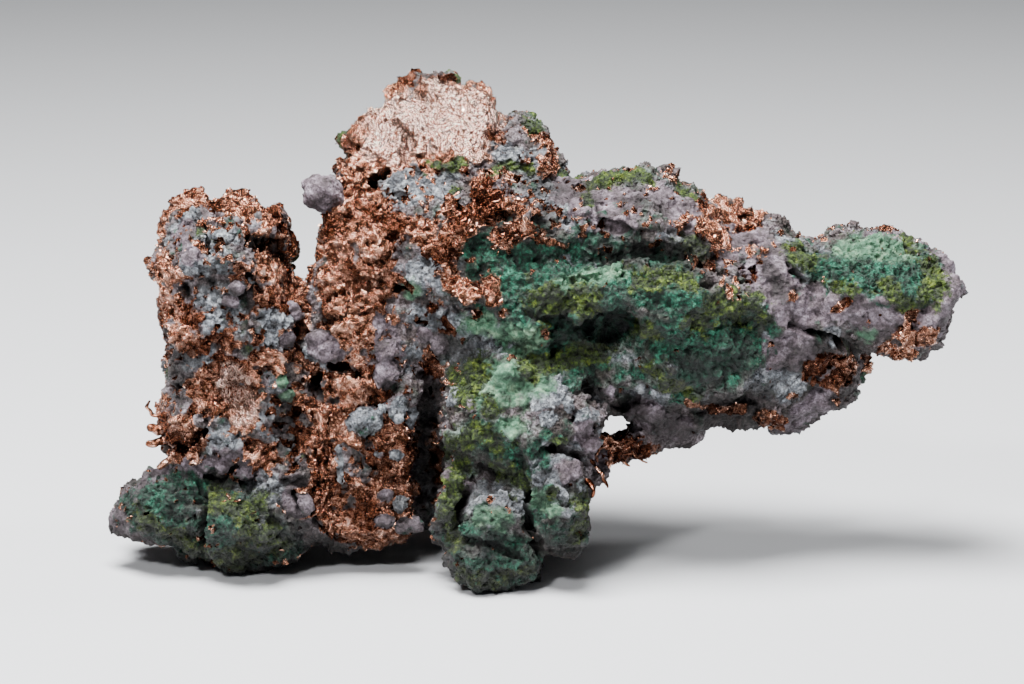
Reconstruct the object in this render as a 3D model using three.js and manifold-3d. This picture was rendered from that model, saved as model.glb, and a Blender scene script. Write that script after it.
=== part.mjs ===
// A native copper nugget: copper and the grey rock and green crust that it grew through, one
// intergrown piece. It stands on three worn feet, with a tower and a peak on the left and an arm
// that reaches out to the right.
//
// Millimetres, +Z up, +X from the left foot towards the arm's head, +Y from the front to the back.
// The origin is the middle of the footprint of the whole nugget, on the surface it rests on.
//
// The mass is made as it weathered: rough boulders joined to one solid, then clefts and holes
// cut into it, then the ground worn flat under its feet.
import * as THREE from "three";
import { ImprovedNoise } from "three/addons/math/ImprovedNoise.js";
import { mergeVertices } from "three/addons/utils/BufferGeometryUtils.js";
import Module from "manifold-3d";

// Driving dimensions, in millimetres.
const FACET = 3; // about the edge of the flat facets that the skin is made of
const RELIEF = 0.85; // how far the coarse bumps stand out of a boulder
const RELIEF_PERIOD = 5.2; // from one coarse bump to the next
const OCTAVES = 3; // each octave of bumps is half as wide and half as high
const FULL_RELIEF = 2.5; // a boulder thinner than this, from its middle out, has lower bumps
const FEWEST_STEPS = 2; // the least that an edge of the starting icosahedron is divided
const GROUND = 0; // height of the facets worn flat under the feet
const GROUND_BLOCK = [200, 200, 30]; // the stone below them that is worn away

// Boulders: the middle, the half sizes along X, Y and Z, a turn about Y in degrees that lifts the
// right end, a yaw about Z that brings it back, and how square the boulder is, from 2 for an egg
// to 5 for a block with soft edges.
const BOULDERS = {
  // left foot, the tower over it and the copper slab beside it
  towerTop: { at: [-26.2, 0, 26.3], half: [5.3, 8, 4.3], square: 4 },
  towerMiddle: { at: [-25.9, -0.4, 21], half: [5.9, 8.4, 5], square: 3 },
  towerBase: { at: [-25.6, 0, 15.4], half: [6.1, 8.6, 7.6], square: 3.5 },
  leftFoot: { at: [-25.2, -1.6, 4.4], half: [5.9, 8.2, 4.9], turn: -8, square: 2.6 },
  leftFootTip: { at: [-32.1, -2, 5], half: [4, 5.5, 2.6], turn: 16, square: 2.5 },
  leftFootNeck: { at: [-20.4, -1, 7], half: [4.6, 7.5, 5.2], square: 3 },
  towerSeam: { at: [-20.3, 0.4, 15.5], half: [3.4, 6.4, 8.5], square: 3 },
  slab: { at: [-15, -2, 12], half: [5.6, 5.5, 9.9], square: 5 },
  slabBack: { at: [-14.6, 4.2, 12.2], half: [6.6, 6.2, 9.6], turn: -5, yaw: 10, square: 3.2 },
  towerBack: { at: [-24.4, 6.2, 13], half: [5, 3.6, 8.4], turn: 10, yaw: -14, square: 3 },
  neck: { at: [-15.4, 0, 23.4], half: [3.9, 7.5, 8], square: 3.5 },
  pebble: { at: [-18, -1, 32], half: [2.1, 2, 1.9], square: 2 },
  // the peak and the heart below it
  peakLeft: { at: [-12.6, 2.6, 34], half: [4, 6.4, 4.3], square: 2.8 },
  peakTop: { at: [-8.3, 5, 36], half: [5.2, 7, 4.8], square: 2.8 },
  peakRight: { at: [-1.9, 5, 34], half: [4.1, 6.4, 3.3], square: 2.6 },
  heart: { at: [-4.7, 2, 25], half: [9.8, 10.5, 8.6], square: 3 },
  heartLow: { at: [-5.6, 5, 12.7], half: [7.6, 8.5, 7.6], square: 2.8 },
  heartBack: { at: [-6.2, 8.6, 21.6], half: [8.6, 5.6, 8.6], turn: 9, yaw: -12, square: 3.6 },
  spur: { at: [2.4, 9.6, 24.6], half: [6.4, 3.6, 4.2], turn: -24, yaw: -16, square: 3 },
  backLedge: { at: [-8.6, 11.2, 15], half: [6.2, 2.9, 4], turn: 13, square: 3.4 },
  // the ridge that runs down to the right, with the hollow green bay under it
  saddle: { at: [2.6, 1.4, 27.4], half: [6.4, 9, 5.6], square: 2.8 },
  ridge: { at: [9.6, 2, 28.6], half: [8, 8.5, 3.9], turn: -12, square: 3.2 },
  ridgeCap: { at: [7.4, 1, 32.3], half: [2.8, 3.6, 1.5], square: 2 },
  shelf: { at: [6.3, -5.2, 23.4], half: [10.6, 5.5, 2.9], turn: 4, square: 2.8 },
  belly: { at: [3.9, 0.6, 18.6], half: [9.4, 8.7, 5.3], square: 2.8 },
  bellyBack: { at: [8.8, 5.4, 18.8], half: [8.6, 4.4, 5.4], turn: 8, yaw: 8, square: 3 },
  slope: { at: [13.2, -2.4, 18.6], half: [6.8, 6.7, 4.3], square: 2.6 },
  // the arm and the split head at its end
  armRoot: { at: [18.5, 1, 21.9], half: [8.4, 7.6, 6.6], square: 3 },
  armHead: { at: [29, 0, 23.2], half: [6.9, 7, 5], turn: -12, square: 3.2 },
  armUnderside: { at: [21.4, 1.6, 15.6], half: [7.1, 6.6, 3.8], turn: 16, square: 2.8 },
  armKeel: { at: [21.5, 2, 12.6], half: [3.1, 3.8, 2.1], square: 2.4 },
  armFlake: { at: [25.6, 6.2, 14.2], half: [4.6, 1.6, 2.1], turn: 40, square: 3 },
  underArm: { at: [11.8, 0, 13.3], half: [3.5, 4.6, 3.1], square: 2.4 },
  // thin copper: the fin behind the ridge, its sliver, and the spray that bridges foot and arm
  fin: { at: [17.3, 6.4, 27.5], half: [4.4, 1.6, 2.4], turn: -22, square: 3 },
  sliver: { at: [20.3, 6.5, 27.4], half: [2.1, 0.8, 0.6], turn: -12, square: 2.2 },
  bridge: { at: [7.9, -1, 9.7], half: [3.1, 2, 1.2], turn: 6, square: 2.2 },
  // the front foot of pale broken blocks, and the foot behind it
  footShoulder: { at: [-0.9, -4.5, 14.4], half: [7.2, 7.5, 5.2], square: 3 },
  footLeft: { at: [-6.2, -5, 6.4], half: [2.3, 5.5, 4.1], square: 3 },
  footFront: { at: [-3.3, -8.6, 4], half: [3.9, 5.4, 4.5], square: 4 },
  footRight: { at: [1.7, -6.8, 7.1], half: [2.9, 5.4, 4.5], square: 3.4 },
  footStones: { at: [4.5, -4, 10.9], half: [1.9, 3.6, 3.5], square: 2.2 },
  backFoot: { at: [-2.8, 8.6, 5.3], half: [4.9, 5.2, 6.4], turn: 6, yaw: 24, square: 3.2 },
  backFootToe: { at: [1, 10.4, 3.8], half: [3.2, 3.4, 4], yaw: -18, square: 2.8 },
};

// Clefts and holes, given in the same way as the boulders and cut out of them.
const CLEFTS = {
  armSplit: { at: [23.6, -6.5, 20.1], half: [6.2, 5, 0.34], turn: -21, square: 3 },
  armSplitMouth: { at: [28.3, -3, 17.6], half: [1, 6, 0.6], turn: -50, square: 3 },
  slabHole: { at: [-18.7, -6, 14.6], half: [0.6, 5, 1.6], square: 2.4 },
  copperScoop: { at: [-25.2, -9.4, 15.6], half: [1.9, 2.6, 1.9], square: 2.2 },
  bridgeHole: { at: [7.2, 0, 11.9], half: [1.7, 12, 0.8], square: 2.6 },
  leftFootSplit: { at: [-28.3, -10, 4.6], half: [0.35, 3.2, 3.2], turn: 3, square: 3 },
  footSplit: { at: [-5.3, -11, 8], half: [0.5, 4.6, 3.4], turn: -38, square: 3 },
  footGap: { at: [-0.7, -12, 6.6], half: [0.35, 4, 3], turn: 4, square: 3 },
  greenBay: { at: [4.2, -11, 21.2], half: [4.8, 4, 1.4], turn: 3, square: 2.4 },
};

// Broken faces: a point on each, the way that it faces, and the width of the stone split away.
const BREAKS = {
  peakFace: { at: [-9.4, 1.5, 36.8], facing: [-0.12, -0.72, 0.68], width: 14 },
  armTop: { at: [30, -2, 27], facing: [0.2, -0.42, 0.9], width: 12 },
};

// Weathered copper over rock.
const SKIN = { color: 0x9a5a44, roughness: 0.5, metalness: 0.6 };

const wasm = await Module();
wasm.setup();
const noise = new ImprovedNoise();

// Height of the bumps at a point, in millimetres.
function reliefAt(point) {
  let height = 0;
  let period = RELIEF_PERIOD;
  let size = RELIEF;
  for (let octave = 0; octave < OCTAVES; octave += 1) {
    height += size * noise.noise(point.x / period, point.y / period, point.z / period);
    period /= 2;
    size /= 2;
  }
  return height;
}

// A closed three.js geometry as a solid that can be joined and cut.
function solidFrom(geometry) {
  geometry.deleteAttribute("normal");
  geometry.deleteAttribute("uv");
  const merged = mergeVertices(geometry);
  return new wasm.Manifold(
    new wasm.Mesh({
      numProp: 3,
      vertProperties: merged.attributes.position.array,
      triVerts: new Uint32Array(merged.index.array),
    }),
  );
}

// One rough boulder: a sphere drawn out towards a block, turned into place and weathered.
function boulder({ at, half, turn = 0, yaw = 0, square }) {
  const reach = (half[0] + half[1] + half[2]) / half.length;
  const steps = Math.max(FEWEST_STEPS, Math.round(reach / FACET));
  const geometry = new THREE.IcosahedronGeometry(1, steps);
  const position = geometry.attributes.position;
  const middle = new THREE.Vector3(...at);
  const sizes = new THREE.Vector3(...half);
  const { degToRad } = THREE.MathUtils;
  const tilt = new THREE.Euler(0, degToRad(-turn), degToRad(yaw), "ZYX");
  const weathering = Math.min(1, Math.min(...half) / FULL_RELIEF);
  const way = new THREE.Vector3();
  const point = new THREE.Vector3();
  for (let i = 0; i < position.count; i += 1) {
    way.fromBufferAttribute(position, i);
    const power = Math.abs(way.x) ** square + Math.abs(way.y) ** square + Math.abs(way.z) ** square;
    point.copy(way).multiplyScalar(power ** (-1 / square));
    point.multiply(sizes).applyEuler(tilt).add(middle);
    way.applyEuler(tilt).multiplyScalar(reliefAt(point) * weathering);
    point.add(way);
    position.setXYZ(i, point.x, point.y, point.z);
  }
  return solidFrom(geometry);
}

// The stone below the ground, which the feet have been worn down to.
function ground() {
  const block = new THREE.BoxGeometry(...GROUND_BLOCK);
  return solidFrom(block.translate(0, 0, GROUND - GROUND_BLOCK[2] / 2));
}

// The largest body of a solid, so that crumbs and the voids sealed between boulders are gone.
function soundBody(solid) {
  return solid.decompose().reduce((best, body) => (body.volume() > best.volume() ? body : best));
}

// The block of stone split away in front of a broken face.
function brokenBlock({ at, facing, width }) {
  const outward = new THREE.Vector3(...facing).normalize();
  const block = new THREE.BoxGeometry(width, width, width);
  block.translate(0, 0, width / 2);
  const turn = new THREE.Quaternion().setFromUnitVectors(new THREE.Vector3(0, 0, 1), outward);
  return solidFrom(block.applyQuaternion(turn).translate(...at));
}

// The whole mass as one solid.
function nuggetSolid() {
  const mass = Object.values(BOULDERS)
    .map(boulder)
    .reduce((joined, next) => joined.add(next));
  const clefts = Object.values(CLEFTS).map(boulder);
  const breaks = Object.values(BREAKS).map(brokenBlock);
  const worn = [...clefts, ...breaks, ground()].reduce((left, loss) => left.subtract(loss), mass);
  return soundBody(worn);
}

function nuggetGeometry() {
  const skin = nuggetSolid().getMesh();
  const geometry = new THREE.BufferGeometry();
  geometry.setAttribute("position", new THREE.BufferAttribute(skin.vertProperties, 3));
  geometry.setIndex(new THREE.BufferAttribute(skin.triVerts, 1));
  geometry.computeBoundingBox();
  const middle = geometry.boundingBox.getCenter(new THREE.Vector3());
  geometry.translate(-middle.x, -middle.y, -geometry.boundingBox.min.z);
  geometry.computeVertexNormals();
  return geometry;
}

const nugget = new THREE.Mesh(nuggetGeometry(), new THREE.MeshStandardMaterial(SKIN));
nugget.name = "nugget";

const specimen = new THREE.Group();
specimen.add(nugget);

export default specimen;
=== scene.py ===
# %% [markdown]
# # A native copper nugget
#
# This lesson builds a natural specimen: metallic copper that grew through lilac-grey rock, with a
# green crust in its hollows. The shape comes from a plain faceted solid, the frame. Blender turns a
# copy of it to a fine skin, sculpts every mineral its own kind of relief, breaks the skin up into
# pieces that are easy to handle, and then adds the stones, grains and wires that stand off it.

# %% Load the frame
import random
import time

import bmesh
import bpy
import numpy as np
from mathutils import Matrix, Vector, noise
from mathutils.bvhtree import BVHTree


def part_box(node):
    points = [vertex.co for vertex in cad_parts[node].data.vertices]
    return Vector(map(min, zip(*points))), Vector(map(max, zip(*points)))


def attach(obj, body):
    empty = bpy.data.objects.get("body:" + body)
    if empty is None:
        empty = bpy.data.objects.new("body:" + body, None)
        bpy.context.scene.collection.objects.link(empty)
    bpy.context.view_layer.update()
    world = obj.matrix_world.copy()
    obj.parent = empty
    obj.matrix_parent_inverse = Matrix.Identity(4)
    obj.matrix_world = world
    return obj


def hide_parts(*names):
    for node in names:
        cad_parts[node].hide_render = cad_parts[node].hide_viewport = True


began = time.time()
noise.seed_set(4)
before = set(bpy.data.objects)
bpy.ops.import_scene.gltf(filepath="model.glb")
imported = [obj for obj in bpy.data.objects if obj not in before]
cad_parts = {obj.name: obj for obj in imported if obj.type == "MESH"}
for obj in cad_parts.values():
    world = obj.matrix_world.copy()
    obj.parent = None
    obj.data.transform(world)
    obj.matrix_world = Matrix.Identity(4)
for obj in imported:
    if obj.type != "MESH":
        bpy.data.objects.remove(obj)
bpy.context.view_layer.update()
MM = 0.001
low, high = (np.array(corner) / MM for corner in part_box("nugget"))
print("the frame is", np.round(high - low, 1), "mm")

# %% [markdown]
# ## Camera, floor and light
#
# The specimen stands on a pale floor that runs far back. A big softbox overhead and a weaker one in
# front give the metal something bright to mirror, and the dim room keeps its hollows dark. Metal
# looks like metal only where light and dark surroundings meet in its reflection.

# %% Point the camera
CAMERA_DISTANCE = 342
camera_data = bpy.data.cameras.new("camera")
camera = bpy.data.objects.new("camera", camera_data)
bpy.context.scene.collection.objects.link(camera)
aim = Vector((-1.97, -0.49, 18.9)) * MM
camera_height = np.radians(12)
away = Vector((0, -np.cos(camera_height), np.sin(camera_height)))
camera.location = aim + away * CAMERA_DISTANCE * MM
camera.rotation_euler = (-away).to_track_quat("-Z", "Y").to_euler()
camera_data.lens = 140
camera_data.sensor_width = 36
camera_data.clip_end = 10
bpy.context.scene.camera = camera
print("the camera looks down by", round(np.degrees(camera_height)), "degrees")


# %% Light the set
def softbox(name, place, width, height, watts):
    """A rectangular area light at `place`, in millimetres, that points at the specimen."""
    data = bpy.data.lights.new(name, "AREA")
    data.shape = "RECTANGLE"
    data.size = width * MM
    data.size_y = height * MM
    data.energy = watts
    lamp = bpy.data.objects.new(name, data)
    lamp.location = Vector(place) * MM
    lamp.rotation_euler = (aim - lamp.location).to_track_quat("-Z", "Y").to_euler()
    bpy.context.scene.collection.objects.link(lamp)
    return lamp


softbox("overhead", (-60, -50, 320), 200, 140, 4.3)
softbox("front_left", (-130, -310, 270), 50, 50, 1.1)
softbox("right_rim", (300, 60, 210), 60, 100, 0.5)

room = bpy.data.worlds.new("room")
bpy.context.scene.world = room
room.use_nodes = True
room.node_tree.nodes["Background"].inputs["Color"].default_value = (0.9, 0.95, 1, 1)
room.node_tree.nodes["Background"].inputs["Strength"].default_value = 0.05

# %% Lay the floor
floor_mesh = bpy.data.meshes.new("floor")
shape = bmesh.new()
bmesh.ops.create_grid(shape, x_segments=1, y_segments=1, size=1.5)
shape.to_mesh(floor_mesh)
shape.free()
floor = bpy.data.objects.new("floor", floor_mesh)
bpy.context.scene.collection.objects.link(floor)
floor_finish = bpy.data.materials.new("pale_floor")
floor_finish.use_nodes = True
floor_shader = floor_finish.node_tree.nodes["Principled BSDF"]
floor_shader.inputs["Base Color"].default_value = (0.68, 0.69, 0.71, 1)
floor_shader.inputs["Roughness"].default_value = 0.7
floor_mesh.materials.append(floor_finish)

# %% [markdown]
# ## The skin
#
# The frame is a heap of joined boulders. A real nugget has no such joints, so a copy of the frame
# is swollen, which closes the creases, made one voxel skin, and shrunk back. Chipped boulders are
# added for the blocks of its feet and for its ledges, and the skin grows over them too. All the
# sculpting is in millimetres, with arrays of numbers for the places of the vertices, because that
# is quick and the numbers stay easy to read.

# %% Helpers that read, move and remesh a mesh
SKIN_VOXEL = 0.157
ROUGH_VOXEL = 0.3
CREASE = 0.45


def place_of(mesh):
    """The place of every vertex, one row each."""
    flat = np.empty(len(mesh.vertices) * 3)
    mesh.vertices.foreach_get("co", flat)
    return flat.reshape(-1, 3)


def facing_of(mesh):
    """The way that every vertex faces, one row each."""
    flat = np.empty(len(mesh.vertices) * 3)
    mesh.vertex_normals.foreach_get("vector", flat)
    return flat.reshape(-1, 3)


def put(mesh, places):
    mesh.vertices.foreach_set("co", places.ravel())
    mesh.update()


def modified(mesh, kind, **settings):
    """A copy of the mesh with one modifier applied."""
    carrier = bpy.data.objects.new("carrier", mesh)
    bpy.context.scene.collection.objects.link(carrier)
    modifier = carrier.modifiers.new(kind, kind)
    for name, value in settings.items():
        setattr(modifier, name, value)
    depsgraph = bpy.context.evaluated_depsgraph_get()
    result = bpy.data.meshes.new_from_object(carrier.evaluated_get(depsgraph))
    bpy.data.objects.remove(carrier)
    return result


def voxel_skin(mesh, size):
    return modified(mesh, "REMESH", mode="VOXEL", voxel_size=size)


def eased(mesh, turns):
    return modified(mesh, "SMOOTH", factor=0.5, iterations=turns)


def swollen(mesh, distance):
    put(mesh, place_of(mesh) + facing_of(mesh) * distance)
    return mesh


# %% Turn the frame to a skin without creases
shape = bmesh.new()
shape.from_mesh(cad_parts["nugget"].data)
bmesh.ops.remove_doubles(shape, verts=shape.verts, dist=1e-6)
bmesh.ops.scale(shape, vec=(1 / MM,) * 3, verts=shape.verts)
skin = bpy.data.meshes.new("skin")
shape.to_mesh(skin)
shape.free()
skin = voxel_skin(skin, ROUGH_VOXEL)
for distance in (CREASE, -CREASE):
    skin = eased(voxel_skin(swollen(skin, distance), ROUGH_VOXEL), 2)
print("the rough skin has", len(skin.polygons), "faces")

# %% [markdown]
# ### Blocks
#
# The feet end in broken blocks, and a few ledges and knobs stand off the mass. A cube would be too
# regular and a ball too soft, so each block is a ball that has flat chips struck off it, as a
# hammer would. One of them is taken away from the mass instead of added, for the notch between the
# tower and the neck.

# %% Chipped boulders
BLOCKS = [
    # place, half sizes, turn in degrees: blocks of the front foot
    ((-6.4, -11.0, 7.1), (1.8, 2.4, 3.6), 12),
    ((-3.3, -11.9, 4.4), (3.6, 2.8, 4.2), -4),
    ((2.0, -11.3, 7.7), (2.8, 2.8, 4.6), -3),
    # blocks of the left foot
    ((-31.0, -6.9, 5.5), (3.6, 2.8, 2.7), 24),
    ((-24.1, -9.0, 5.2), (3.7, 2.9, 3.2), -12),
    # the copper tip, the shoulder and the ledge of the tower
    ((-31.7, -3.6, 26.2), (1.1, 1.2, 0.9), 10),
    ((-21.9, -4.6, 29.5), (1.8, 1.5, 0.7), -6),
    ((-29.2, -3.4, 29.3), (1.7, 1.6, 1.6), 30),
    # the sliver behind the ridge
    ((19.2, 1.0, 29.0), (2.7, 0.7, 0.5), -8),
    # the shoulder under the hollow, and the bridge to the arm
    ((-2.6, -10.6, 17.2), (2.8, 2.2, 1.7), 10),
    ((7.6, -3.6, 10.5), (2.6, 1.2, 0.7), -6),
    ((7.4, -3.8, 13.9), (2.8, 1.8, 1.2), -6),
    # the web between the slab and the front foot
    ((-9.4, -0.5, 4.8), (1.5, 2.0, 2.7), 5),
]
NOTCH = ((-20.0, 0.0, 30.2), (2.2, 14.0, 5.0), 4)


def chipped(shape, place, halves, turn, seed, chips=9, least=0.72):
    """Adds a boulder to the shape: a ball with flat chips struck off it, stretched and turned."""
    luck = random.Random(seed)
    part = bmesh.new()
    bmesh.ops.create_icosphere(part, subdivisions=3, radius=1)
    for _ in range(chips):
        blow = Vector([luck.gauss(0, 1) for _ in range(3)]).normalized()
        everything = part.verts[:] + part.edges[:] + part.faces[:]
        struck = bmesh.ops.bisect_plane(
            part, geom=everything, dist=1e-5, plane_co=blow * luck.uniform(least, 0.93),
            plane_no=blow, clear_outer=True,
        )
        rim = [edge for edge in struck["geom_cut"] if isinstance(edge, bmesh.types.BMEdge)]
        bmesh.ops.holes_fill(part, edges=rim)
    bmesh.ops.triangulate(part, faces=part.faces[:])
    bmesh.ops.scale(part, vec=halves, verts=part.verts)
    turned = Matrix.Rotation(-np.radians(turn), 3, "Y")
    bmesh.ops.rotate(part, matrix=turned, verts=part.verts)
    bmesh.ops.translate(part, vec=place, verts=part.verts)
    bmesh.ops.recalc_face_normals(part, faces=part.faces[:])
    stone = bpy.data.meshes.new("stone")
    part.to_mesh(stone)
    part.free()
    shape.from_mesh(stone)
    bpy.data.meshes.remove(stone)


shape = bmesh.new()
shape.from_mesh(skin)
for seed, (place, halves, turn) in enumerate(BLOCKS):
    chipped(shape, place, halves, turn, seed)
shape.to_mesh(skin)
shape.free()
skin = voxel_skin(skin, ROUGH_VOXEL)
shape = bmesh.new()
chipped(shape, *NOTCH, seed=50)
wedge_mesh = bpy.data.meshes.new("wedge")
shape.to_mesh(wedge_mesh)
shape.free()
wedge = bpy.data.objects.new("wedge", wedge_mesh)
skin = modified(skin, "BOOLEAN", operation="DIFFERENCE", object=wedge, solver="EXACT")
skin = eased(voxel_skin(skin, ROUGH_VOXEL), 2)
print("with its blocks it has", len(skin.polygons), "faces")

# %% [markdown]
# ## Where each mineral lies
#
# The minerals are laid on with strokes, as a painter would: a radius and a line of points on the
# surface, in millimetres. Noise frays the strokes, and where two minerals meet the stronger wins,
# so their borders stay sharp but ragged.

# %% Copper
# A stroke is a radius and then the points of its line, from left to right or from the top down.
COPPER = [
    (1.2, (-27.1, -2.9, 30.9), (-24.7, -1.0, 30.7), (-22.3, -1.4, 30.0)),
    (1.3, (-22.5, -7.7, 27.3), (-21.1, -4.7, 26.2), (-20.7, -2.2, 24.1)),
    (1.0, (-22.3, -7.3, 23.9), (-20.1, -4.1, 23.1)),
    (1.0, (-31.0, -6.0, 26.9), (-31.0, -6.5, 26.0), (-29.9, -7.9, 26.3)),
    (1.0, (-31.7, -2.3, 22.9), (-30.1, -7.5, 23.1), (-28.8, -9.1, 22.6)),
    (1.0, (-30.1, -8.1, 21.2), (-28.0, -9.1, 20.5), (-25.9, -9.5, 21.0), (-23.8, -9.3, 22.2),
     (-22.8, -9.0, 21.4)),
    (0.7, (-26.1, -8.7, 25.8), (-24.6, -8.5, 26.6)),
    (0.8, (-22.6, -8.7, 20.1), (-23.2, -8.8, 19.1)),
    (1.9, (-26.3, -9.0, 17.0), (-24.9, -8.9, 17.4), (-23.6, -8.9, 16.8)),
    (1.9, (-24.9, -7.9, 14.6), (-26.4, -7.8, 15.3)),
    (1.9, (-30.6, -7.7, 13.7), (-29.7, -8.0, 12.9), (-30.5, -7.0, 11.5)),
    (1.2, (-27.9, -9.1, 15.6), (-26.1, -8.3, 14.4), (-24.4, -8.9, 13.8)),
    (1.5, (-22.1, -8.8, 15.7), (-20.7, -7.7, 12.9), (-19.0, -7.8, 12.0)),
    (1.0, (-23.8, -8.5, 11.7), (-22.7, -8.0, 10.7)),
    (1.0, (-20.2, -6.1, 19.2), (-19.0, -7.2, 18.6)),
    (1.9, (-17.3, -3.3, 30.5), (-16.4, -7.1, 28.2), (-16.8, -7.6, 24.9), (-16.0, -7.9, 21.5)),
    (1.9, (-13.7, -6.7, 29.4), (-13.0, -6.7, 27.2), (-13.9, -7.6, 24.9), (-14.5, -7.9, 22.4)),
    (2.1, (-16.1, -7.9, 16.8), (-13.5, -8.1, 16.6), (-15.6, -8.1, 14.8)),
    (2.1, (-17.3, -8.0, 13.8), (-17.3, -8.1, 10.3), (-17.7, -8.6, 7.0)),
    (2.1, (-11.8, -7.9, 12.3), (-11.1, -7.3, 10.2), (-12.3, -7.9, 8.2), (-11.1, -7.3, 6.1)),
    (2.1, (-14.6, -8.2, 9.3), (-14.0, -7.9, 6.8)),
    (1.5, (-16.5, -7.4, 4.8), (-13.3, -7.7, 5.6)),
    (1.4, (-15.6, -6.8, 3.4), (-11.7, -6.1, 3.2)),
    (1.5, (-15.7, -1.9, 32.5), (-15.8, -3.3, 31.1), (-13.8, -3.3, 31.2), (-13.1, -2.6, 32.3)),
    (1.1, (-11.3, -6.3, 30.1), (-9.6, -6.8, 31.0), (-9.2, -8.4, 28.6)),
    (1.0, (-11.2, -7.4, 27.2), (-10.3, -8.4, 25.7)),
    (1.3, (-14.8, 2.0, 36.9), (-15.6, 1.0, 35.7)),
    (2.6, (-12.9, 1.7, 36.9), (-9.8, 2.5, 38.3), (-7.3, 3.0, 39.3), (-4.4, 1.7, 38.5)),
    (2.2, (-11.5, 0.1, 35.5), (-8.1, 0.2, 36.1), (-5.5, -0.1, 36.3)),
    (1.5, (-9.0, 3.8, 39.9), (-5.6, 3.2, 39.8)),
    (1.1, (0.8, 1.8, 36.5), (1.5, 1.5, 35.2), (1.1, 0.1, 34.2)),
    (1.2, (-15.7, -0.4, 34.2), (-13.2, -1.1, 33.9), (-11.3, -1.1, 34.3)),
    (0.5, (-2.1, -6.6, 31.6), (-0.1, -6.3, 31.3), (1.5, -6.6, 31.0)),
    (0.6, (0.8, -7.0, 30.3), (2.0, -7.3, 30.3), (3.4, -7.3, 30.6)),
    (0.5, (0.4, -7.9, 29.2), (2.5, -8.1, 28.7)),
    (0.5, (5.1, -7.9, 29.5), (5.2, -7.7, 28.1)),
    (0.8, (-8.7, -8.4, 23.1), (-8.3, -8.2, 21.9)),
    (0.6, (-8.7, -7.9, 20.1), (-9.2, -6.2, 18.4), (-8.4, -2.9, 16.8)),
    (0.6, (13.0, -5.1, 30.7), (12.1, -6.1, 30.0)),
    (0.9, (16.9, -5.6, 26.7), (17.7, -6.1, 25.9), (16.3, -6.9, 25.1)),
    (0.5, (15.4, -9.0, 24.4), (15.9, -8.0, 24.9)),
    (1.0, (14.4, -2.8, 31.0), (17.3, 4.5, 29.0), (18.8, 4.5, 28.8)),
    (1.0, (14.0, -5.3, 29.9), (15.5, -5.0, 28.6)),
    (0.6, (13.8, -6.5, 26.9), (14.5, -6.4, 26.2)),
    (0.5, (21.6, -6.4, 24.1)),
    (0.4, (25.2, -7.2, 23.1), (26.2, -7.4, 23.8)),
    (1.0, (23.4, -4.8, 17.4), (25.5, -3.9, 18.3), (27.0, -3.4, 17.8), (25.3, -4.9, 16.2)),
    (0.5, (22.0, -5.1, 15.2)),
    (0.9, (19.8, -5.1, 13.3), (20.6, -4.6, 12.6)),
    (0.4, (13.0, -7.5, 15.2), (15.7, -4.2, 13.8), (17.5, -5.3, 14.0)),
    (1.0, (31.4, -7.3, 22.4), (31.1, -7.5, 21.1), (32.5, -7.1, 20.6)),
    (0.9, (29.4, -6.4, 19.5), (31.1, -6.1, 19.1)),
    (1.2, (6.2, -6.4, 11.1), (7.7, -3.2, 10.3), (9.4, -3.3, 9.9)),
    (0.7, (-8.8, -3.6, 11.0), (-8.1, -2.9, 7.3)),
]
SPRAYS = [
    (1.2, (-4.3, -3.5, 33.0), (-3.0, -2.5, 33.2), (-3.6, -6.5, 32.0), (-5.3, -7.6, 30.8),
     (-7.0, -8.8, 29.0), (-7.5, -9.0, 28.0)),
    (0.8, (-7.0, -6.7, 31.8), (-5.5, -7.2, 31.2)),
    (0.9, (-3.0, -8.5, 29.2), (-1.8, -8.3, 29.6), (-1.1, -7.9, 30.2)),
    (0.8, (-7.5, -9.2, 27.0), (-6.7, -9.1, 25.7), (-5.1, -8.9, 25.0), (-3.6, -9.0, 25.9),
     (-3.4, -8.9, 24.3)),
    (0.5, (-5.0, -8.5, 22.9)),
]
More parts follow.
